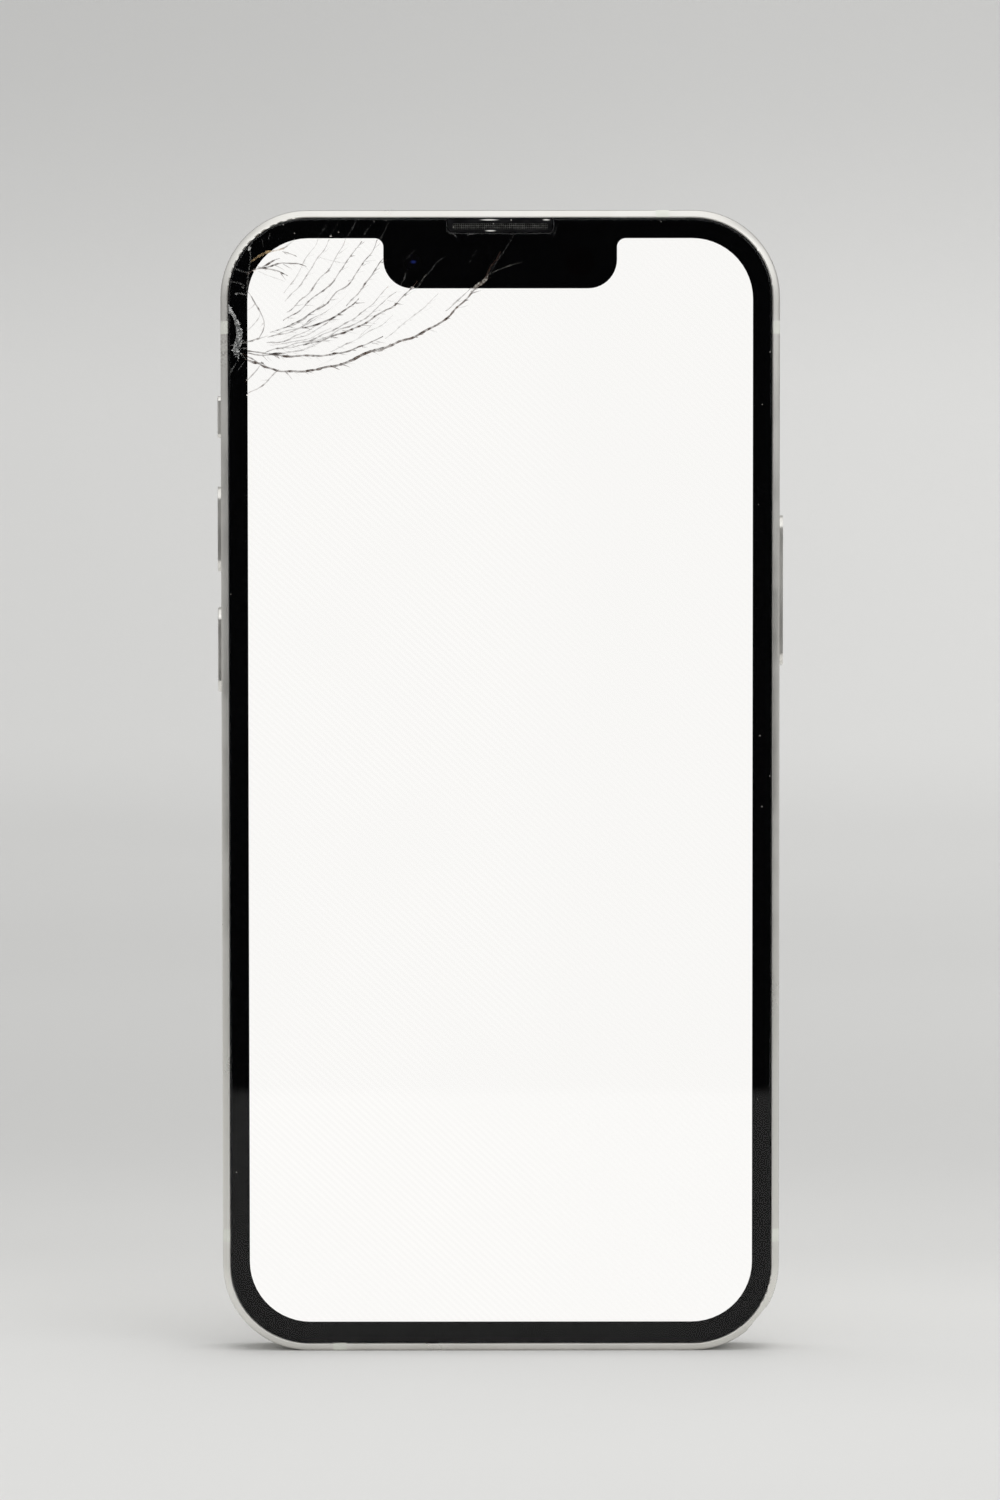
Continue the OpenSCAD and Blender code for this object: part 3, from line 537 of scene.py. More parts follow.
def spurTaper(t):
    return 1.0 - 0.85 * t


def hairTaper(t):
    return math.sin(math.pi * (0.1 + 0.8 * t))


def paleTaper(t):
    return 0.5 + 0.5 * math.sin(math.pi * t)


def addCrack(shape, shadeLayer, route, width, shade, taper, depths, rng, warmth=0.0):
    # a leaning strip through the glass: its front edge is the crack, its back edge falls behind it
    offset = rng.uniform(0, 50)
    pairs = []
    for i, point in enumerate(route):
        way = (route[min(i + 1, len(route) - 1)] - route[max(i - 1, 0)]).normalized()
        across = Vector((way.y, -way.x))
        t = i / max(1, len(route) - 1)
        ragged = noiseAt(point, crackLook["ragged"], offset, offset)
        fine = noiseAt(point, crackLook["fine"], offset, 3)
        lean = (width + crackLook["widen"]) * taper(t) * (0.9 + 0.9 * abs(ragged) + 0.3 * fine)
        drift = noiseAt(point, crackLook["drift"], offset, 9)
        centre = point + across * (crackLook["wobble"] * (ragged + 0.6 * fine) + crackLook["wander"] * drift)
        corners = []
        for side, depth in ((-0.5, depths[0]), (0.5, depths[1])):
            spot = centre + across * lean * side
            corners.append(shape.verts.new((spot.x * mm, glassFace + depth * mm, spot.y * mm)))
        pairs.append((corners, shade * (0.8 + 0.6 * abs(ragged))))
    for (first, shadeA), (second, shadeB) in zip(pairs, pairs[1:]):
        face = shape.faces.new((first[0], second[0], second[1], first[1]))
        for loop in face.loops:
            value = min(1.0, shadeA if loop.vert in first else shadeB)
            loop[shadeLayer] = (value, warmth, value, 1)


def newStrips():
    shape = bmesh.new()
    return shape, shape.loops.layers.color.new("crackShade")


def crackChannels(tree):
    # red holds how strong a strip shows, green how warm it is
    shade = tree.nodes.new("ShaderNodeVertexColor")
    shade.layer_name = "crackShade"
    channels = tree.nodes.new("ShaderNodeSeparateColor")
    tree.links.new(shade.outputs["Color"], channels.inputs["Color"])
    return channels.outputs


def makeDarkCracks():
    shape, shadeLayer = newStrips()
    rng = random.Random(crackLook["seed"])
    depths = crackLook["depths"]
    for width, dark, route, _ in crackCourses():
        shade = crackLook["deepest"] * (1 - (1 - dark) ** crackLook["deepen"])
        addCrack(shape, shadeLayer, route, width, shade, mainTaper, depths, rng)
        # short spurs that leave the crack on its outer side and run on a little way
        travelled, following = 0.0, rng.uniform(*crackLook["spurEvery"])
        for a, b in zip(route, route[1:]):
            travelled += (b - a).length
            if travelled < following or a.x < crackLook["spurFrom"]:
                continue
            following = travelled + rng.uniform(*crackLook["spurEvery"])
            turn = math.radians(rng.uniform(*crackLook["spurTurn"]))
            way = (b - a).normalized()
            way = Vector((way.x * math.cos(turn) - way.y * math.sin(turn),
                          way.x * math.sin(turn) + way.y * math.cos(turn)))
            length = rng.uniform(*crackLook["spurLength"]) * (0.5 + shade * 0.6)
            curl = Vector((way.y, -way.x)) * rng.uniform(-0.12, 0.06) * length
            spur = [a + way * length * t + curl * t * t for t in (0, 0.25, 0.5, 0.75, 1.0)]
            spurShade = shade * rng.uniform(0.45, 1.0)
            addCrack(shape, shadeLayer, spur, width * crackLook["spurWidth"], spurShade, spurTaper, depths, rng)
    # faint hairlines that fan out from the hit between the main cracks
    for i in range(crackLook["hairlines"]):
        t = i / (crackLook["hairlines"] - 1)
        begin = Vector((-28.0 + 2 * rng.random(), 115.4 + 2.2 * t * rng.random()))
        end = Vector((-21.5 + 14.5 * t + rng.uniform(-0.8, 0.8), 127.8 - 6.5 * t * t))
        bend = begin + Vector(((end.x - begin.x) * (0.55 + 0.15 * t), (end.y - begin.y) * 0.22))
        first, last = sorted((rng.uniform(0.0, 0.55), rng.uniform(0.45, 1.0)))
        along = [first + (last - first) * k / 14 for k in range(15)]
        route = [begin * (1 - a) ** 2 + bend * 2 * a * (1 - a) + end * a * a for a in along]
        hairShade = rng.uniform(*crackLook["hairDark"])
        addCrack(shape, shadeLayer, route, crackLook["hairWidth"], hairShade, hairTaper, depths, rng)
    finish, tree, surface, place = newFinish("crackFaces", roughness=0.35, ior=1.5, specularIORLevel=0.3)
    breakUp = cloud(tree, place, 0.5 * mm, 3.0)
    glint = cloud(tree, place, 0.22 * mm, 2.0)
    strength = crackChannels(tree)["Red"]
    opacity = maths(tree, "MULTIPLY", strength, fade(tree, breakUp, 0.3, 0.62, 0.85, 1.35))
    tree.links.new(opacity, surface.inputs["Alpha"])
    paint(tree, surface, mixed(tree, fade(tree, glint, 0.4, 0.7), (0.08, 0.046, 0.032), (0.19, 0.122, 0.092)))
    return dress(keepShape("crackLines", shape), finish)


def makePaleCracks():
    shape, shadeLayer = newStrips()
    rng = random.Random(crackLook["seed"] + 1)
    rows = list(paleRows)
    for _, dark, route, onward in crackCourses():
        # a fan crack runs on faintly over the print
        if onward is not None:
            legs = ((onward - crackLook["runOnBend"], crackLook["runOn"]),)
            rows.append((crackLook["runOnWidth"], dark * crackLook["runOnDark"], 0.1, route[-1], onward, legs))
    for width, shade, warmth, start, heading, legs in rows:
        route = bentRoute(start, heading, legs, crackLook["paleStep"])
        addCrack(shape, shadeLayer, route, width, shade, paleTaper, crackLook["paleDepths"], rng, warmth)
    finish, tree, surface, place = newFinish("brokenGlassFaces", roughness=0.4, ior=1.5)
    channels = crackChannels(tree)
    breakUp = cloud(tree, place, 0.3 * mm, 3.0)
    opacity = maths(tree, "MULTIPLY", channels["Red"], fade(tree, breakUp, 0.3, 0.7, 0.35, 1.5))
    tree.links.new(opacity, surface.inputs["Alpha"])
    cold = mixed(tree, fade(tree, breakUp, 0.35, 0.65), (0.5, 0.49, 0.46), (0.9, 0.91, 0.9))
    paint(tree, surface, mixed(tree, channels["Green"], cold, (0.78, 0.55, 0.28)))
    return dress(keepShape("paleCracks", shape), finish)


# crushed glass left in the hit spot, as several hundred small splinters, in mm
crushed = {"count": 760, "size": (0.05, 0.19), "seed": 5, "outermost": -31.1, "step": 0.05,
           "start": (-31.2, 120.4), "heading": -50, "legs": ((-85, 3.4), (-120, 1.4), (-60, 0.8)),
           "spread": (0.1, 0.42), "flat": (0.2, 0.5), "tall": (0.4, 1.4), "depth": (0.02, 0.3),
           "uneven": (0.6, 1.25)}


def makeCrushedGlass():
    rng = random.Random(crushed["seed"])
    route = bentRoute(crushed["start"], crushed["heading"], crushed["legs"], crushed["step"])
    clearSelection()
    bpy.ops.mesh.primitive_ico_sphere_add(subdivisions=1, radius=1.0)
    seedPiece = bpy.context.object
    shape = bmesh.new()
    for _ in range(crushed["count"]):
        t = rng.random()
        spot = route[int(t * (len(route) - 1))]
        reach = between(crushed["spread"], max(0.0, t * 1.5 - 0.45))
        spot = spot + Vector((rng.gauss(0, reach * 0.5), rng.gauss(0, reach * 0.7)))
        spot.x = max(spot.x, crushed["outermost"])
        size = rng.uniform(*crushed["size"]) * (0.6 + 0.6 * rng.random())
        angle = rng.uniform(0, 6.28)
        axis = Vector((rng.random() - 0.5, rng.random() - 0.5, rng.random() - 0.5 + 0.01)).normalized()
        turn = Matrix.Rotation(angle, 4, axis)
        grow = Matrix.Diagonal((size * mm, size * mm * rng.uniform(*crushed["flat"]),
                                size * mm * rng.uniform(*crushed["tall"]), 1))
        depth = rng.uniform(*crushed["depth"])
        place = Matrix.Translation((spot.x * mm, glassFace + (depth + size) * mm, spot.y * mm))
        begun = len(shape.verts)
        shape.from_mesh(seedPiece.data)
        shape.verts.ensure_lookup_table()
        for vert in shape.verts[begun:]:
            vert.co = place @ (turn @ (grow @ (vert.co * rng.uniform(*crushed["uneven"]))))
    bpy.data.objects.remove(seedPiece)
    finish, tree, surface, place = newFinish("frostedSplinters", roughness=0.3, ior=1.5)
    powder = cloud(tree, place, 0.25 * mm, 3.0)
    paint(tree, surface, mixed(tree, fade(tree, powder, 0.35, 0.68), (0.16, 0.17, 0.17), (1.0, 1.0, 0.99)))
    return dress(keepShape("crushedGlass", shape), finish)


# painted highlights: tiny glowing nicks where cracks cross the edge of the black print, in mm
litNicks = {"share": 0.7, "size": (0.1, 0.2), "seed": 3, "depth": 0.69, "cornerTurn": 1.257}


def makeLitNicks():
    rng = random.Random(litNicks["seed"])
    shape = bmesh.new()
    for _, _, route, _ in crackCourses():
        crossings = [b for a, b in zip(route, route[1:]) if overPrint(a) != overPrint(b)]
        if not crossings or rng.random() > litNicks["share"]:
            continue
        across, up = crossings[-1]
        size = rng.uniform(*litNicks["size"])
        corners = []
        for i in range(5):
            angle = i * litNicks["cornerTurn"] + rng.uniform(-0.3, 0.3)
            reach = size * rng.uniform(0.5, 1.0)
            corners.append(shape.verts.new(((across + math.cos(angle) * reach * 1.3) * mm,
                                            glassFace + litNicks["depth"] * mm,
                                            (up + math.sin(angle) * reach * 0.7) * mm)))
        shape.faces.new(corners)
    shape.normal_update()
    for face in shape.faces:
        if face.normal.y > 0:
            face.normal_flip()
    finish, tree, surface, place = newFinish("litNickGlow", emissioncolor=(0.8, 0.74, 0.7, 1),
                                             emissionstrength=0.8, roughness=0.6)
    paint(tree, surface, mixed(tree, cloud(tree, place, 0.2 * mm), (0.2, 0.18, 0.16), (0.5, 0.48, 0.46)))
    return dress(keepShape("litNicks", shape), finish)


# specks of dust and chips of glass on the black print, in mm
specks = {"count": 20, "size": (0.05, 0.1), "sides": (29.4, 31.2), "upSides": (3, 127), "top": (128.7, 130.5),
          "alongTop": (-28, 24), "depth": 0.05, "thick": 0.03, "seed": 8}


def makeSpecks():
    rng = random.Random(specks["seed"])
    clearSelection()
    bpy.ops.mesh.primitive_ico_sphere_add(subdivisions=2, radius=1.0)
    seedPiece = bpy.context.object
    shape = bmesh.new()
    for i in range(specks["count"]):
        if i % 2:
            across = rng.choice((-1, 1)) * rng.uniform(*specks["sides"])
            up = rng.uniform(*specks["upSides"])
        else:
            across = rng.uniform(*specks["alongTop"])
            up = rng.uniform(*specks["top"])
        size = rng.uniform(*specks["size"])
        begun = len(shape.verts)
        shape.from_mesh(seedPiece.data)
        shape.verts.ensure_lookup_table()
        for vert in shape.verts[begun:]:
            bump = 0.75 + 0.5 * noise.noise(vert.co * 2 + Vector((across, up, 0)))
            vert.co = Vector(((across + vert.co.x * size * bump) * mm,
                              glassFace + (specks["depth"] + vert.co.y * specks["thick"]) * mm,
                              (up + vert.co.z * size * bump * rng.uniform(0.6, 1.0)) * mm))
    bpy.data.objects.remove(seedPiece)
    finish = simpleFinish("paleDust", {"color": (0.4, 0.38, 0.35), "tint": (0.6, 0.58, 0.55),
                                       "rough": (0.7, 0.9), "patch": 0.2 * mm})
    return dress(keepShape("dustSpecks", shape), finish)


makeCoverGlass()
makePicture()
makeDarkCracks()
makePaleCracks()
makeCrushedGlass()
makeLitNicks()
makeSpecks()
print("front glass, picture and cracks made")

# satin metal of the band, rings, keys and tray, with scuffs at the two knocks
bandMetal = {"color": (0.835, 0.822, 0.778), "tint": (0.875, 0.862, 0.822), "rough": (0.27, 0.36),
             "grain": 0.07 * mm, "depth": 0.0016 * mm, "patch": 6 * mm, "knock": (29.7 * mm, 0, 3.4 * mm),
             "hit": (-32.1 * mm, -3 * mm, 115.3 * mm)}


def bandFinish(name):
    finish, tree, surface, place = newFinish(name, metallic=1.0)
    patches = cloud(tree, place, bandMetal["patch"])
    base = mixed(tree, fade(tree, patches, 0.35, 0.65), bandMetal["color"], bandMetal["tint"])
    # fine scratches that run along the edges, and denser scuffs where it was knocked
    alongEdges = stretched(tree, place, scale=(1, 1, 0.12))
    scratches = fade(tree, cloud(tree, alongEdges, 0.16 * mm, 4.0, 0.7), 0.62, 0.72)
    knock = spotMask(tree, place, bandMetal["knock"], 1.2 * mm, 4.6 * mm)
    hit = spotMask(tree, place, bandMetal["hit"], 0.6 * mm, 2.6 * mm)
    knocked = maths(tree, "MAXIMUM", knock, hit)
    aslant = stretched(tree, place, scale=(1, 0.35, 1), turn=(0, 0.7, 0))
    scuffNoise = fade(tree, cloud(tree, aslant, 0.28 * mm, 5.0, 0.7), 0.45, 0.6)
    scuffs = maths(tree, "MULTIPLY", knocked, scuffNoise)
    darker = mixed(tree, maths(tree, "MULTIPLY", scuffs, 0.75), base, (0.36, 0.34, 0.31))
    marked = mixed(tree, maths(tree, "MULTIPLY", scratches, 0.25), darker, (0.55, 0.535, 0.5))
    dirt = fade(tree, cloud(tree, place, 0.5 * mm, 5.0, 0.75), 0.7, 0.8)
    satin = fade(tree, patches, 0.3, 0.7, *bandMetal["rough"])
    paint(tree, surface, mixed(tree, maths(tree, "MULTIPLY", dirt, 0.3), marked, (0.3, 0.28, 0.25)),
          maths(tree, "ADD", satin, maths(tree, "MULTIPLY", scuffs, 0.25)))
    blasted = cloud(tree, place, bandMetal["grain"], 2.0)
    grooves = maths(tree, "ADD", maths(tree, "MULTIPLY", scratches, 0.6), maths(tree, "MULTIPLY", scuffs, 6.0))
    raised(tree, surface, maths(tree, "SUBTRACT", blasted, grooves), bandMetal["depth"], 0.7)
    return finish


satinBand = bandFinish("satinSilverBand")

rimShape = {"width": 0.88 * mm, "depth": 0.5 * mm, "profile": 0.32, "corner": 10 * mm, "segments": 6,
            "spare": 0.03 * mm}


def softenRim(piece):
    # trims the square front edge to a soft slope, with a slab drawn thick and then flattened
    flatten = rimShape["depth"] / rimShape["width"]
    low, high = bandLow.copy(), bandHigh.copy()
    front, spare = low.y, rimShape["spare"]
    slab = startBlock("rimSlab", (low.x - spare, 0, low.z - spare),
                      (high.x + spare, (high.y - low.y + mm) / flatten, high.z + spare))
    roundCorners(slab, rimShape["corner"] + spare, 48)
    pickEdges(slab, lambda middle, way: abs(middle.y) < 0.002 * mm)
    bpy.ops.mesh.bevel(offset=rimShape["width"] + spare, segments=rimShape["segments"],
                       profile=rimShape["profile"], affect="EDGES")
    closeMesh()
    slab.data.transform(Matrix.Translation((0, front, 0)) @ Matrix.Diagonal((1, flatten, 1, 1)))
    addModifier(piece, "BOOLEAN", operation="INTERSECT", solver="EXACT", object=slab)
    bpy.data.objects.remove(slab)


def makeBand():
    band = refinedCopy("metalBand", "frame")
    softenRim(band)
    evenShading(band)
    dress(band, satinBand)
    inserts = refinedCopy("antennaInserts", "antenna_bands")
    softenRim(inserts)
    evenShading(inserts)
    finish = simpleFinish("bandPlastic", {"color": (0.8, 0.81, 0.74), "tint": (0.86, 0.87, 0.8),
                                          "rough": (0.38, 0.5), "patch": 2 * mm, "grain": 0.08 * mm,
                                          "depth": 0.002 * mm})
    dress(inserts, finish)


keyLook = {"edge": 0.16 * mm, "segments": 4, "trayEdge": 0.05 * mm,
           "keys": (("powerKey", "power_button", "power_key"),
                    ("volumeUpKey", "volume_up_button", "volume_up_key"),
                    ("volumeDownKey", "volume_down_button", "volume_down_key"),
                    ("ringLever", "ring_switch_lever", "ring_lever"))}


def makeKeys():
    satinKeys = bandFinish("satinKeys")
    for name, node, body in keyLook["keys"]:
        dress(refinedCopy(name, node, keyLook["edge"], keyLook["segments"]), satinKeys, body)
    dress(refinedCopy("cardTray", "sim_tray", keyLook["trayEdge"], 2), satinKeys, "card_tray")


backLook = {"edge": 0.1 * mm, "color": (0.83, 0.81, 0.765), "tint": (0.86, 0.845, 0.805), "rough": (0.06, 0.16),
            "coat": 0.6, "patch": 26 * mm, "grain": 0.9 * mm, "depth": 0.001 * mm, "strength": 0.25,
            "ringEdge": 0.1 * mm, "coverEdge": 0.06 * mm}


def makeBack():
    back = refinedCopy("backGlass", "back_glass", backLook["edge"], 3)
    dress(back, simpleFinish("paleBackGlass", backLook))
    clear, tree, surface, place = newFinish("lensCoverGlass", transmissionweight=1.0, ior=1.38,
                                            basecolor=(0.93, 0.95, 0.97, 1))
    tree.links.new(fade(tree, cloud(tree, place, 2 * mm), 0.4, 0.8, 0.0, 0.04), surface.inputs["Roughness"])
    for where in ("upper", "lower"):
        ring = refinedCopy(where + "CameraRing", "camera_ring_" + where, backLook["ringEdge"], 4)
        dress(ring, satinBand)
        cover = refinedCopy(where + "LensCover", "lens_cover_" + where, backLook["coverEdge"], 2)
        dress(cover, clear)
        cover.visible_shadow = False
        makeLensStack(where)


# each baffle ring: its radius and its thickness, in mm
lensLook = {"dome": 1.9 * mm, "domeRise": 0.55 * mm, "domeDepth": 0.55 * mm, "glass": (0.004, 0.005, 0.014, 1),
            "coatTint": (0.55, 0.6, 1.0, 1), "firstRing": 0.07, "ringStep": 0.08,
            "rings": ((3.75, 0.09), (3.35, 0.12), (2.75, 0.1), (2.2, 0.14)),
            "baffle": {"color": (0.004, 0.004, 0.005), "tint": (0.012, 0.012, 0.014), "rough": (0.22, 0.34),
                       "patch": 0.6 * mm}}


def lensFinish(name):
    finish, tree, surface, place = newFinish(name, coatweight=1.0, coatroughness=0.02,
                                             coattint=lensLook["coatTint"], ior=1.6)
    depthTint = cloud(tree, place, 1.5 * mm, 1.0)
    paint(tree, surface, mixed(tree, depthTint, lensLook["glass"], (0.012, 0.005, 0.016)),
          fade(tree, depthTint, 0.3, 0.7, 0.04, 0.1))
    return finish


def makeLensStack(where):
    # stepped black baffles and a coated front element, down in the barrel
    low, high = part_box("lens_barrel_" + where)
    centre = (low + high) / 2
    mouth = high.y
    dome = startDome(where + "LensElement", (centre.x, mouth - lensLook["domeDepth"], centre.z),
                     lensLook["dome"], lensLook["domeRise"])
    dress(dome, lensFinish(where + "CoatedLens"), where + "_lens")
    for i, (radius, thickness) in enumerate(lensLook["rings"]):
        depth = (lensLook["firstRing"] + lensLook["ringStep"] * i) * mm
        clearSelection()
        bpy.ops.mesh.primitive_torus_add(major_segments=64, minor_segments=10, major_radius=radius * mm,
                                         minor_radius=thickness * mm, rotation=frontward,
                                         location=(centre.x, mouth - depth, centre.z))
        ring = keepNew(where + "Baffle" + str(i + 1))
        smoothBy(ring, 60)
        finish = simpleFinish(where + "BaffleBlack" + str(i + 1), lensLook["baffle"])
        dress(ring, finish, where + "_lens")


frontSensors = {"glintAside": 0.15 * mm, "lensRadius": 0.95 * mm, "lensRise": 0.3 * mm, "lensDepth": 0.35 * mm,
                "windowRadius": 1.6 * mm, "windowDepth": 0.69 * mm, "windowThickness": 0.01 * mm}


def makeFrontSensors():
    low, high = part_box("front_camera")
    centre = (low + high) / 2
    lens = startDome("frontLens", (centre.x, low.y + frontSensors["lensDepth"], centre.z),
                     frontSensors["lensRadius"], frontSensors["lensRise"], 40)
    finish = inkFinish("frontLensBlack", (0.0003, 0.0003, 0.0009), (0.0008, 0.0007, 0.0022),
                       (centre.x + frontSensors["glintAside"], centre.z))
    dress(lens, finish)
    low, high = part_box("infrared_camera")
    centre = (low + high) / 2
    window = startDisc("infraredWindow", (centre.x, glassFace + frontSensors["windowDepth"], centre.z),
                       frontSensors["windowRadius"], frontSensors["windowThickness"])
    finish = inkFinish("infraredBlack", (0.0004, 0.0002, 0.0003), (0.0012, 0.0006, 0.0008))
    dress(window, finish)


def wovenFinish(name, pitch, wire, gap, metal=1.0, low=0.45):
    # a woven mesh: round wires over dark holes
    finish, tree, surface, place = newFinish(name, metallic=metal, roughness=0.4)
    across = stripes(tree, place, pitch, "X")
    up = stripes(tree, place, pitch, "Z")
    wires = maths(tree, "MAXIMUM", across, up)
    # painted highlights: a cloud leaves the wires bright in random specks and dims them between
    paintedSpeckle = fade(tree, cloud(tree, place, 0.5 * mm, 4.0, 0.7), 0.35, 0.65, 0.35, 1.0)
    shown = maths(tree, "MULTIPLY", fade(tree, wires, low, low + 0.35), paintedSpeckle)
    paint(tree, surface, mixed(tree, shown, gap, wire))
    raised(tree, surface, wires, 0.03 * mm, 0.8)
    return finish


blackPlastic = {"color": (0.012, 0.012, 0.013), "tint": (0.022, 0.022, 0.024), "rough": (0.35, 0.5),
                "patch": 1 * mm}
contactGold = {"color": (0.75, 0.55, 0.22), "tint": (0.8, 0.62, 0.3), "rough": (0.2, 0.35), "metal": 1.0,
               "patch": 0.5 * mm}
portLook = {"pads": 8, "pad": 0.3 * mm, "pitch": 0.68 * mm, "proud": 0.02 * mm, "foot": 0.5 * mm,
            "top": 3.8 * mm}
grilles = {"halfDepth": 1.2 * mm, "inset": 0.2 * mm, "rightSpan": (9.9 * mm, 21.7 * mm),
           "below": (0.07 * mm, 0.03 * mm)}


def makeBottom():
    screws = refinedCopy("bottomScrews", "bottom_screws", 0.04 * mm, 2)
    dress(screws, turnedFinish("turnedScrews"))
    dress(refinedCopy("portShell", "port_shell", 0.06 * mm, 3), turnedFinish("drawnPortShell"))
    low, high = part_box("port_tongue")
    tongue = refinedCopy("portTongue", "port_tongue", 0.08 * mm, 3)
    dress(tongue, simpleFinish("tonguePlastic", blackPlastic))
    aside, proud = portLook["pad"] / 2, portLook["proud"]
    first = startBlock("portContacts", (-aside, low.y - proud, low.z + portLook["foot"]),
                       (aside, high.y + proud, low.z + portLook["top"]))
    pickEdges(first, lambda middle, way: True)
    bpy.ops.mesh.bevel(offset=0.02 * mm, segments=2, affect="EDGES")
    closeMesh()
    first.data.transform(Matrix.Translation((-(portLook["pads"] - 1) / 2 * portLook["pitch"], 0, 0)))
    addModifier(first, "ARRAY", count=portLook["pads"], use_relative_offset=False, use_constant_offset=True,
                constant_offset_displace=(portLook["pitch"], 0, 0))
    dress(first, simpleFinish("contactGold", contactGold))
    woven = wovenFinish("grilleWeave", 0.12 * mm, (0.35, 0.35, 0.36), (0.004, 0.004, 0.004))
    for name, node in (("speakerMesh", "loudspeaker"), ("microphoneMesh", "bottom_microphone")):
        low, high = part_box(node)
        left, right = grilles["rightSpan"]
        if low.x < 0:
            left, right = low.x + grilles["inset"], high.x - grilles["inset"]
        sheet = startBlock(name, (left, -grilles["halfDepth"], low.z - grilles["below"][0]),
                           (right, grilles["halfDepth"], low.z - grilles["below"][1]))
        roundCorners(sheet, 0.01 * mm, 1)
        dress(sheet, woven)


def turnedFinish(name):
    return simpleFinish(name, {"color": (0.56, 0.55, 0.53), "tint": (0.66, 0.65, 0.62), "rough": (0.2, 0.34),
                               "metal": 1.0, "patch": 0.8 * mm, "grain": 0.05 * mm, "depth": 0.001 * mm})


# each painted highlight spot: across and up in mm, and how many times longer than high it is
earpieceHighlights = {"spots": ((-1.25, 130.4, 12), (5.3, 130.4, 5), (-1.1, 129.15, 7)), "near": 0.03 * mm,
                "far": 0.11 * mm, "bare": (0.95, 0.95, 0.9)}
bezelBlack = {"color": (0.003, 0.003, 0.0035), "tint": (0.008, 0.008, 0.009), "rough": (0.3, 0.45),
              "patch": 1 * mm, "shine": 0.12}


def makeEarpiece():
    bezel = refinedCopy("earpieceBezel", "earpiece_bezel", 0.06 * mm, 3)
    black = simpleFinish("bezelBlack", bezelBlack)
    tree = black.node_tree
    surface = tree.nodes["Principled BSDF"]
    place = tree.nodes.new("ShaderNodeTexCoord").outputs["Object"]
    bezelColor = surface.inputs["Base Color"].links[0].from_socket
    paintedHighlight = 0.0
    for across, up, longness in earpieceHighlights["spots"]:
        # painted highlights: long thin pale spots along the bezel's edges
        squeezed = stretched(tree, place, scale=(1 / longness, 0, 1))
        centre = (across * mm / longness, 0, up * mm)
        spot = spotMask(tree, squeezed, centre, earpieceHighlights["near"], earpieceHighlights["far"])
        paintedHighlight = maths(tree, "MAXIMUM", spot, paintedHighlight)
    paint(tree, surface, mixed(tree, paintedHighlight, bezelColor, earpieceHighlights["bare"]))
    dress(bezel, black)
    weave = wovenFinish("earpieceWeave", 0.24 * mm, (0.17, 0.17, 0.16), (0.002, 0.002, 0.002), low=0.6)
    putFinish(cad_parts["earpiece_mesh"], weave)


glintLook = {"squash": 0.6, "near": 0.02 * mm, "far": 0.26 * mm, "blue": (0.012, 0.022, 0.14)}


def inkFinish(name="blackPrint", deep=(0.0006, 0.0007, 0.0009), pale=(0.0016, 0.0017, 0.002), glint=None):
    finish, tree, surface, place = newFinish(name, specularIORLevel=0.0)
    patches = cloud(tree, place, 0.8 * mm)
    color = mixed(tree, patches, deep, pale)
    if glint:
        # a small blue glint in the glass
        squashed = stretched(tree, place, scale=(glintLook["squash"], 0, 1))
        centre = (glint[0] * glintLook["squash"], 0, glint[1])
        spot = spotMask(tree, squashed, centre, glintLook["near"], glintLook["far"])
        color = mixed(tree, spot, color, glintLook["blue"])
    paint(tree, surface, color, fade(tree, patches, 0.3, 0.7, 0.6, 0.8))
    return finish


def boardFinish():
    # green lacquer over copper tracks that run at right angles
    finish, tree, surface, place = newFinish("boardLacquer", coatweight=0.3, coatroughness=0.2)
    blocks = cells(tree, stretched(tree, place, scale=(1, 1, 0.6)), 1.4 * mm, "F1", "Color")
    upright = fade(tree, stripes(tree, place, 0.35 * mm, "X"), 0.7, 0.9)
    level = fade(tree, stripes(tree, place, 0.5 * mm, "Z"), 0.8, 0.95)
    tracks = maths(tree, "MAXIMUM", upright, level)
    sparse = maths(tree, "MULTIPLY", tracks, fade(tree, axisValue(tree, blocks, 0), 0.4, 0.6))
    paint(tree, surface, mixed(tree, sparse, (0.012, 0.055, 0.04), (0.05, 0.16, 0.08)),
          fade(tree, cloud(tree, place, 2 * mm), 0.3, 0.7, 0.3, 0.45))
    raised(tree, surface, sparse, 0.02 * mm, 0.6)
    return finish


def flexFinish():
    finish, tree, surface, place = newFinish("amberFlex", coatweight=0.2, coatroughness=0.25)
    tracks = fade(tree, stripes(tree, place, 0.4 * mm, "X"), 0.55, 0.8)
    paint(tree, surface, mixed(tree, tracks, (0.16, 0.075, 0.018), (0.3, 0.15, 0.04)),
          fade(tree, cloud(tree, place, 3 * mm), 0.3, 0.7, 0.3, 0.5))
    raised(tree, surface, tracks, 0.02 * mm, 0.6)
    return finish


def coilFinish():
    low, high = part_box("charging_coil")
    centre = (low + high) / 2
    finish, tree, surface, place = newFinish("woundCopper", metallic=1.0)
    turns = stripes(tree, stretched(tree, place, shift=tuple(-centre)), 0.55 * mm, "Y", "RINGS")
    paint(tree, surface, mixed(tree, turns, (0.3, 0.12, 0.05), (0.72, 0.36, 0.18)),
          fade(tree, cloud(tree, place, 2 * mm), 0.3, 0.7, 0.25, 0.4))
    raised(tree, surface, turns, 0.1 * mm, 0.8)
    return finish


def shieldFinish():
    # pressed tin can with a grid of dimples and finger marks
    finish, tree, surface, place = newFinish("pressedShield", metallic=1.0)
    smears = cloud(tree, place, 5 * mm, 4.0)
    dimples = fade(tree, cells(tree, place, 1.6 * mm), 0.12, 0.22)
    paint(tree, surface, mixed(tree, smears, (0.46, 0.46, 0.46), (0.62, 0.62, 0.61)),
          fade(tree, smears, 0.3, 0.7, 0.25, 0.45))
    raised(tree, surface, dimples, 0.03 * mm, 0.6)
    return finish


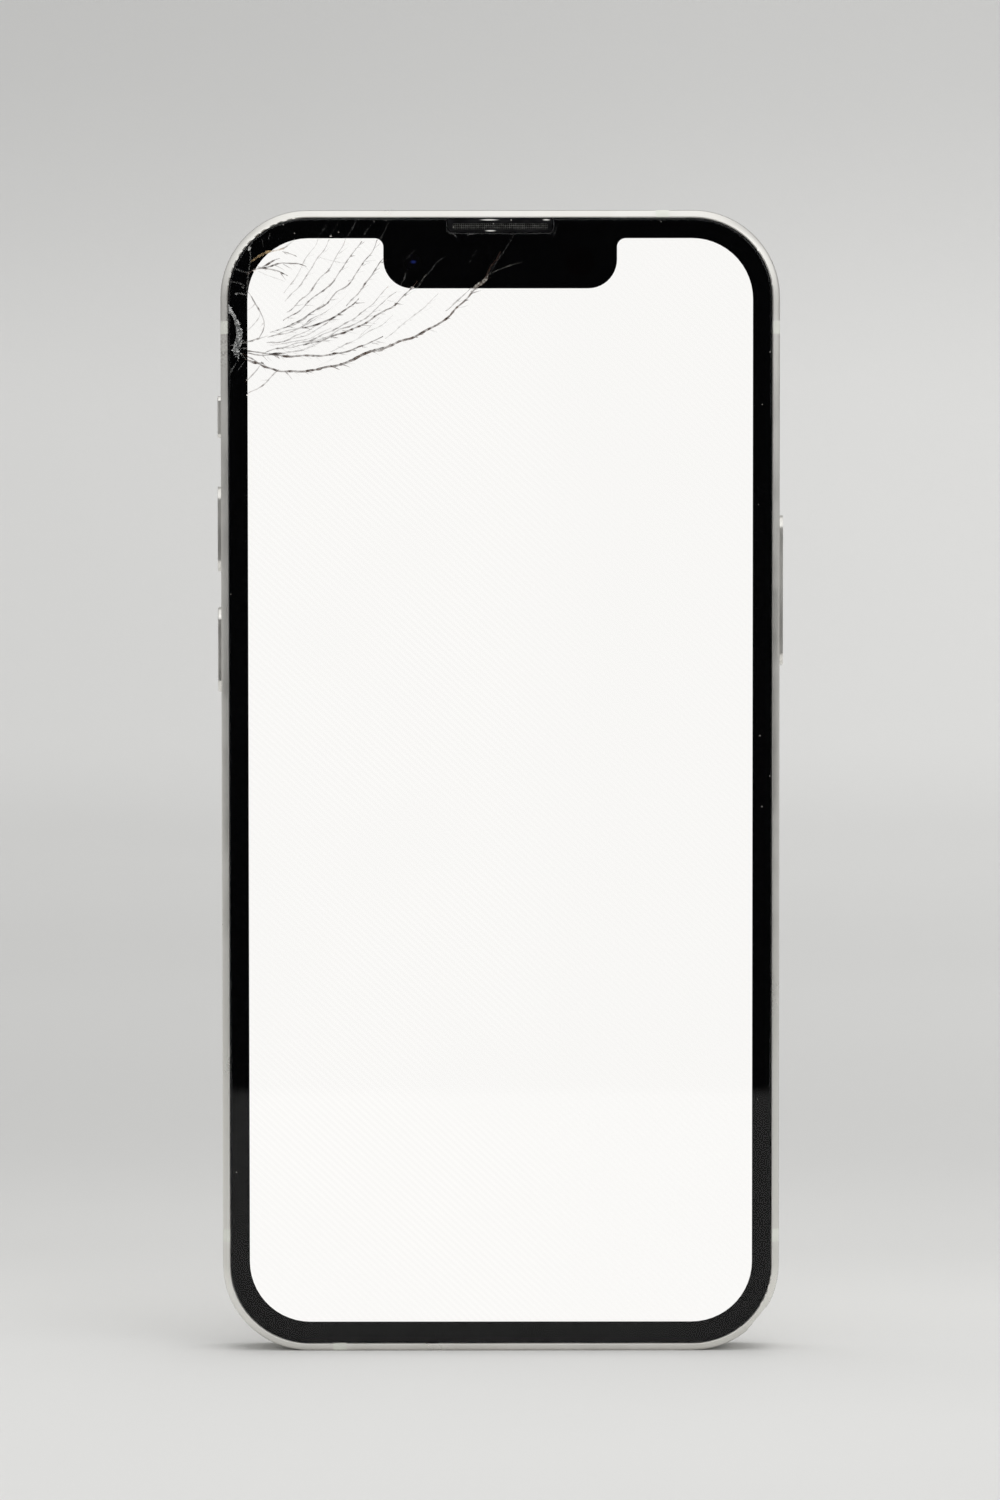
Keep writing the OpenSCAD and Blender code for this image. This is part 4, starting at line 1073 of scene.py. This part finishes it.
def flashFinish():
    low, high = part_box("flash_lens")
    centre = (low + high) / 2
    finish, tree, surface, place = newFinish("ribbedFlash", coatweight=0.8, coatroughness=0.05, roughness=0.25)
    ribs = stripes(tree, stretched(tree, place, shift=tuple(-centre)), 0.3 * mm, "Y", "RINGS")
    paint(tree, surface, mixed(tree, ribs, (0.72, 0.66, 0.42), (0.9, 0.87, 0.72)))
    raised(tree, surface, ribs, 0.06 * mm, 0.7)
    return finish


def finishInside():
    dull = {"rough": (0.45, 0.65), "patch": 2.5 * mm, "grain": 0.1 * mm, "depth": 0.006 * mm}
    plain = {
        "darkPlate": ({**dull, "color": (0.16, 0.16, 0.165), "tint": (0.22, 0.22, 0.225), "metal": 1.0},
            ("display_back_plate", "front_sensor_bracket", "camera_bracket", "power_bracket",
             "volume_bracket")),
        "blackMoulding": ({**dull, "color": (0.014, 0.014, 0.015), "tint": (0.028, 0.028, 0.03)},
            ("display_frame", "earpiece_speaker", "camera_module_upper", "camera_module_lower",
             "ring_switch_base", "loudspeaker", "port_body")),
        "softSeal": ({**dull, "color": (0.02, 0.02, 0.02), "tint": (0.035, 0.035, 0.036),
                              "rough": (0.7, 0.85)},
            ("display_seal",)),
        "sensorBlack": ({**dull, "color": (0.003, 0.003, 0.005), "tint": (0.008, 0.007, 0.012),
                                 "rough": (0.25, 0.4), "shine": 0.06},
            ("lens_barrel_upper", "lens_barrel_lower")),
        "panelGlass": ({**dull, "color": (0.02, 0.02, 0.024), "tint": (0.03, 0.03, 0.036),
                                "rough": (0.15, 0.3)},
            ("display_panel",)),
        "batteryWrap": ({**dull, "color": (0.012, 0.012, 0.014), "tint": (0.03, 0.03, 0.033),
                                 "rough": (0.3, 0.55), "patch": 7 * mm, "grain": 0.8 * mm, "depth": 0.02 * mm},
            ("battery",)),
        "stretchTape": ({**dull, "color": (0.7, 0.7, 0.69), "tint": (0.8, 0.8, 0.79)},
            ("battery_adhesive",)),
        "cardPlastic": ({**dull, "color": (0.8, 0.78, 0.71), "tint": (0.86, 0.84, 0.78), "rough": (0.35, 0.5)},
            ("sim_card",)),
        "sinteredMass": ({**dull, "color": (0.3, 0.3, 0.31), "tint": (0.42, 0.42, 0.43), "metal": 1.0},
            ("haptic_mass",)),
        "ledPhosphor": ({**dull, "color": (0.75, 0.62, 0.15), "tint": (0.85, 0.75, 0.3)},
            ("flash_led",)),
    }
    groups = [(simpleFinish(name, look), nodes) for name, (look, nodes) in plain.items()]
    groups += [
        (inkFinish(), ("black_border",)),
        (inkFinish("sensorInk", (0.0004, 0.0004, 0.0006), (0.0012, 0.0011, 0.0016)),
         ("front_camera", "infrared_camera", "dot_projector")),
        (boardFinish(), ("main_board",)),
        (flexFinish(), ("display_flex", "battery_tab", "dock_flex")),
        (coilFinish(), ("charging_coil",)),
        (flashFinish(), ("flash_lens",)),
        (shieldFinish(), ("processor_shield", "radio_shield", "rear_shield", "sim_reader", "haptic_case",
                          "bottom_microphone", "power_switch", "volume_switches")),
        (turnedFinish("boardScrewSteel"), ("board_screws",)),
    ]
    for finish, nodes in groups:
        for node in nodes:
            putFinish(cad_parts[node], finish)


makeBand()
print("band and inserts made")
makeKeys()
print("keys and tray made")
makeBack()
print("back, rings and lenses made")
makeFrontSensors()
makeEarpiece()
makeBottom()
print("earpiece, sensors and port made")
finishInside()
print("inner pieces finished")


# pale floor that curves up into a backdrop
stageLook = {"half": 3.0, "back": 1.25, "height": 3.2, "bend": 0.5, "litTo": -0.285, "tint": (1.0, 1.0, 0.99),
             "sway": 0.045, "grain": 0.015, "farSpan": (0.5, 2.2), "farTone": (0.93, 0.93, 0.92),
             "tones": ((-0.1, 0.74), (0.03, 0.75), (0.1, 0.685), (0.21, 0.642), (0.5, 0.69),
                       (0.81, 0.768), (0.9, 0.828), (1.04, 0.835), (1.16, 0.69))}


def makeStage():
    clearSelection()
    bpy.ops.mesh.primitive_plane_add(size=2 * stageLook["half"],
                                     location=(0, stageLook["back"] - stageLook["half"], 0))
    floor = keepNew("studioFloor")
    pickEdges(floor, lambda middle, way: middle.y > stageLook["back"] - 0.01)
    bpy.ops.mesh.extrude_region_move(TRANSFORM_OT_translate={"value": (0, 0, stageLook["height"])})
    closeMesh()
    pickEdges(floor, lambda middle, way: abs(middle.y - stageLook["back"]) < 0.01
              and abs(middle.z) < 0.01 and abs(way.x) > 0.9)
    bpy.ops.mesh.bevel(offset=stageLook["bend"], segments=16, affect="EDGES")
    closeMesh()
    smoothBy(floor, 60)
    finish, tree, surface, place = newFinish("paleStudioPaper", roughness=0.85, specularIORLevel=0.15)
    # the paper's tone changes softly with the distance back, and a little from left to right: painted light and
    # shade, darker on the left
    nearest, farthest = stageLook["tones"][0][0], stageLook["tones"][-1][0]
    ramp = tree.nodes.new("ShaderNodeValToRGB")
    ramp.color_ramp.interpolation = "EASE"
    for i, (back, tone) in enumerate(stageLook["tones"]):
        spot = (back - nearest) / (farthest - nearest)
        stop = ramp.color_ramp.elements[i] if i < 2 else ramp.color_ramp.elements.new(spot)
        stop.position = spot
        stop.color = (*(tone * part for part in stageLook["tint"]), 1)
    beyondNearest = maths(tree, "SUBTRACT", axisValue(tree, place, 1), nearest)
    span = maths(tree, "DIVIDE", beyondNearest, farthest - nearest)
    tree.links.new(span, ramp.inputs["Fac"])
    away = fade(tree, axisValue(tree, place, 1), 0.03, 0.3)
    lean = maths(tree, "MULTIPLY", fade(tree, axisValue(tree, place, 0), 0.15, -0.15), stageLook["sway"] * 2)
    grain = maths(tree, "MULTIPLY", cloud(tree, place, 60 * mm, 3.0), stageLook["grain"])
    dimmer = maths(tree, "ADD", maths(tree, "MULTIPLY", lean, away), grain)
    near = mixed(tree, dimmer, ramp.outputs["Color"], (0.0, 0.0, 0.0))
    # far from the lamps the paper is paler, so that it stays even out to the horizon
    reach = maths(tree, "MAXIMUM", maths(tree, "ABSOLUTE", axisValue(tree, place, 0)),
                  maths(tree, "MULTIPLY", axisValue(tree, place, 1), -1.0))
    color = mixed(tree, fade(tree, reach, *stageLook["farSpan"]), near, stageLook["farTone"])
    # painted shade: where polished faces mirror the far front of the floor, it is painted near black, as if
    # that part of the room were unlit
    rays = tree.nodes.new("ShaderNodeLightPath")
    beyond = fade(tree, axisValue(tree, place, 1), stageLook["litTo"] - 0.02, stageLook["litTo"], 1.0, 0.0)
    unlit = maths(tree, "MULTIPLY", beyond, rays.outputs["Is Glossy Ray"])
    paint(tree, surface, mixed(tree, unlit, color, (0.004, 0.004, 0.004)))
    raised(tree, surface, cloud(tree, place, 1.2 * mm, 3.0), 0.1 * mm, 0.3)
    floor.data.materials.append(finish)


lampLook = {"overhead": {"size": (1.5, 1.1), "place": (0.1, 0.05, 1.35), "aim": (0, 0, 0.05), "power": 10.5,
                         "color": (1.0, 0.995, 0.98)},
            "front": {"size": (1.0, 0.7), "place": (0.9, -1.2, 1.0), "aim": (0, 0.4, 0.2), "power": 3.0},
            "leftCard": {"size": (0.13, 0.1), "place": (-0.11, -0.085, 0.155), "aim": (-0.032, 0, 0.13),
                         "power": 0.014},
            "rightCard": {"size": (0.13, 0.1), "place": (0.11, -0.085, 0.155), "aim": (0.032, 0, 0.13),
                          "power": 0.023}}


def makeLamps():
    for name, look in lampLook.items():
        lamp = bpy.data.lights.new(name + "Softbox", "AREA")
        lamp.shape = "RECTANGLE"
        lamp.size, lamp.size_y = look["size"]
        lamp.energy = look["power"]
        lamp.color = look.get("color", (1.0, 1.0, 1.0))
        holder = bpy.data.objects.new(name + "Softbox", lamp)
        holder.location = look["place"]
        aim = Vector(look["aim"]) - Vector(look["place"])
        holder.rotation_euler = aim.to_track_quat("-Z", "Y").to_euler()
        # the big lamps light the paper; the small cards only shine along the sides of the metal
        holder.visible_camera = False
        holder.visible_glossy = name.endswith("Card")
        holder.visible_diffuse = not name.endswith("Card")
        scene.collection.objects.link(holder)


roomLook = {"fill": 0.52, "horizon": 0.5, "seen": 0.72, "mirroredFront": 0.03, "mirroredSide": 0.24,
            "mirroredTop": 1.03, "frontFrom": -0.9, "frontTo": -0.35, "topFrom": 0.04, "topTo": 0.32,
            "sideFrom": 0.25, "sideTo": 0.85, "topAtSide": 0.44}


def makeRoom():
    # even fill light, with a dark room for polished faces to mirror and light only from above
    world = bpy.data.worlds.new("studioRoom")
    scene.world = world
    world.use_nodes = True
    tree = world.node_tree
    background = tree.nodes["Background"]
    place = tree.nodes.new("ShaderNodeTexCoord").outputs["Generated"]
    rays = tree.nodes.new("ShaderNodeLightPath")
    level = fade(tree, axisValue(tree, place, 1), roomLook["frontFrom"], roomLook["frontTo"],
                 roomLook["mirroredFront"], roomLook["mirroredSide"])
    overhead = fade(tree, axisValue(tree, place, 2), roomLook["topFrom"], roomLook["topTo"])
    sideways = maths(tree, "ABSOLUTE", axisValue(tree, place, 0))
    above = fade(tree, sideways, roomLook["sideFrom"], roomLook["sideTo"],
                 roomLook["mirroredTop"], roomLook["topAtSide"])
    mirrored = mixed(tree, overhead, level, above)
    glossy = mixed(tree, rays.outputs["Is Glossy Ray"], (roomLook["fill"],) * 3, mirrored)
    seen = mixed(tree, fade(tree, axisValue(tree, place, 2), 0.0, 0.2),
                 (roomLook["horizon"],) * 3, (roomLook["seen"],) * 3)
    tree.links.new(mixed(tree, rays.outputs["Is Camera Ray"], glossy, seen), background.inputs["Color"])


cameraLook = {"distance": 850 * mm, "height": 118 * mm, "aimHeight": 69.56 * mm, "lens": 177.63,
              "sensor": 36, "roll": -0.042, "across": -0.06 * mm, "nearest": 0.01, "farthest": 20}


def makeCamera():
    lens = bpy.data.cameras.new("studioCamera")
    lens.lens = cameraLook["lens"]
    lens.sensor_width = cameraLook["sensor"]
    lens.clip_start = cameraLook["nearest"]
    lens.clip_end = cameraLook["farthest"]
    holder = bpy.data.objects.new("studioCamera", lens)
    holder.location = (cameraLook["across"], glassFace - cameraLook["distance"], cameraLook["height"])
    aim = Vector((cameraLook["across"], glassFace, cameraLook["aimHeight"]))
    level = (aim - holder.location).to_track_quat("-Z", "Y").to_matrix().to_4x4()
    rolled = level @ Matrix.Rotation(math.radians(cameraLook["roll"]), 4, "Z")
    holder.rotation_euler = rolled.to_euler()
    scene.collection.objects.link(holder)
    scene.camera = holder


makeStage()
makeLamps()
makeRoom()
makeCamera()
scene.view_settings.view_transform = "Standard"
print("stage, lamps and camera set")
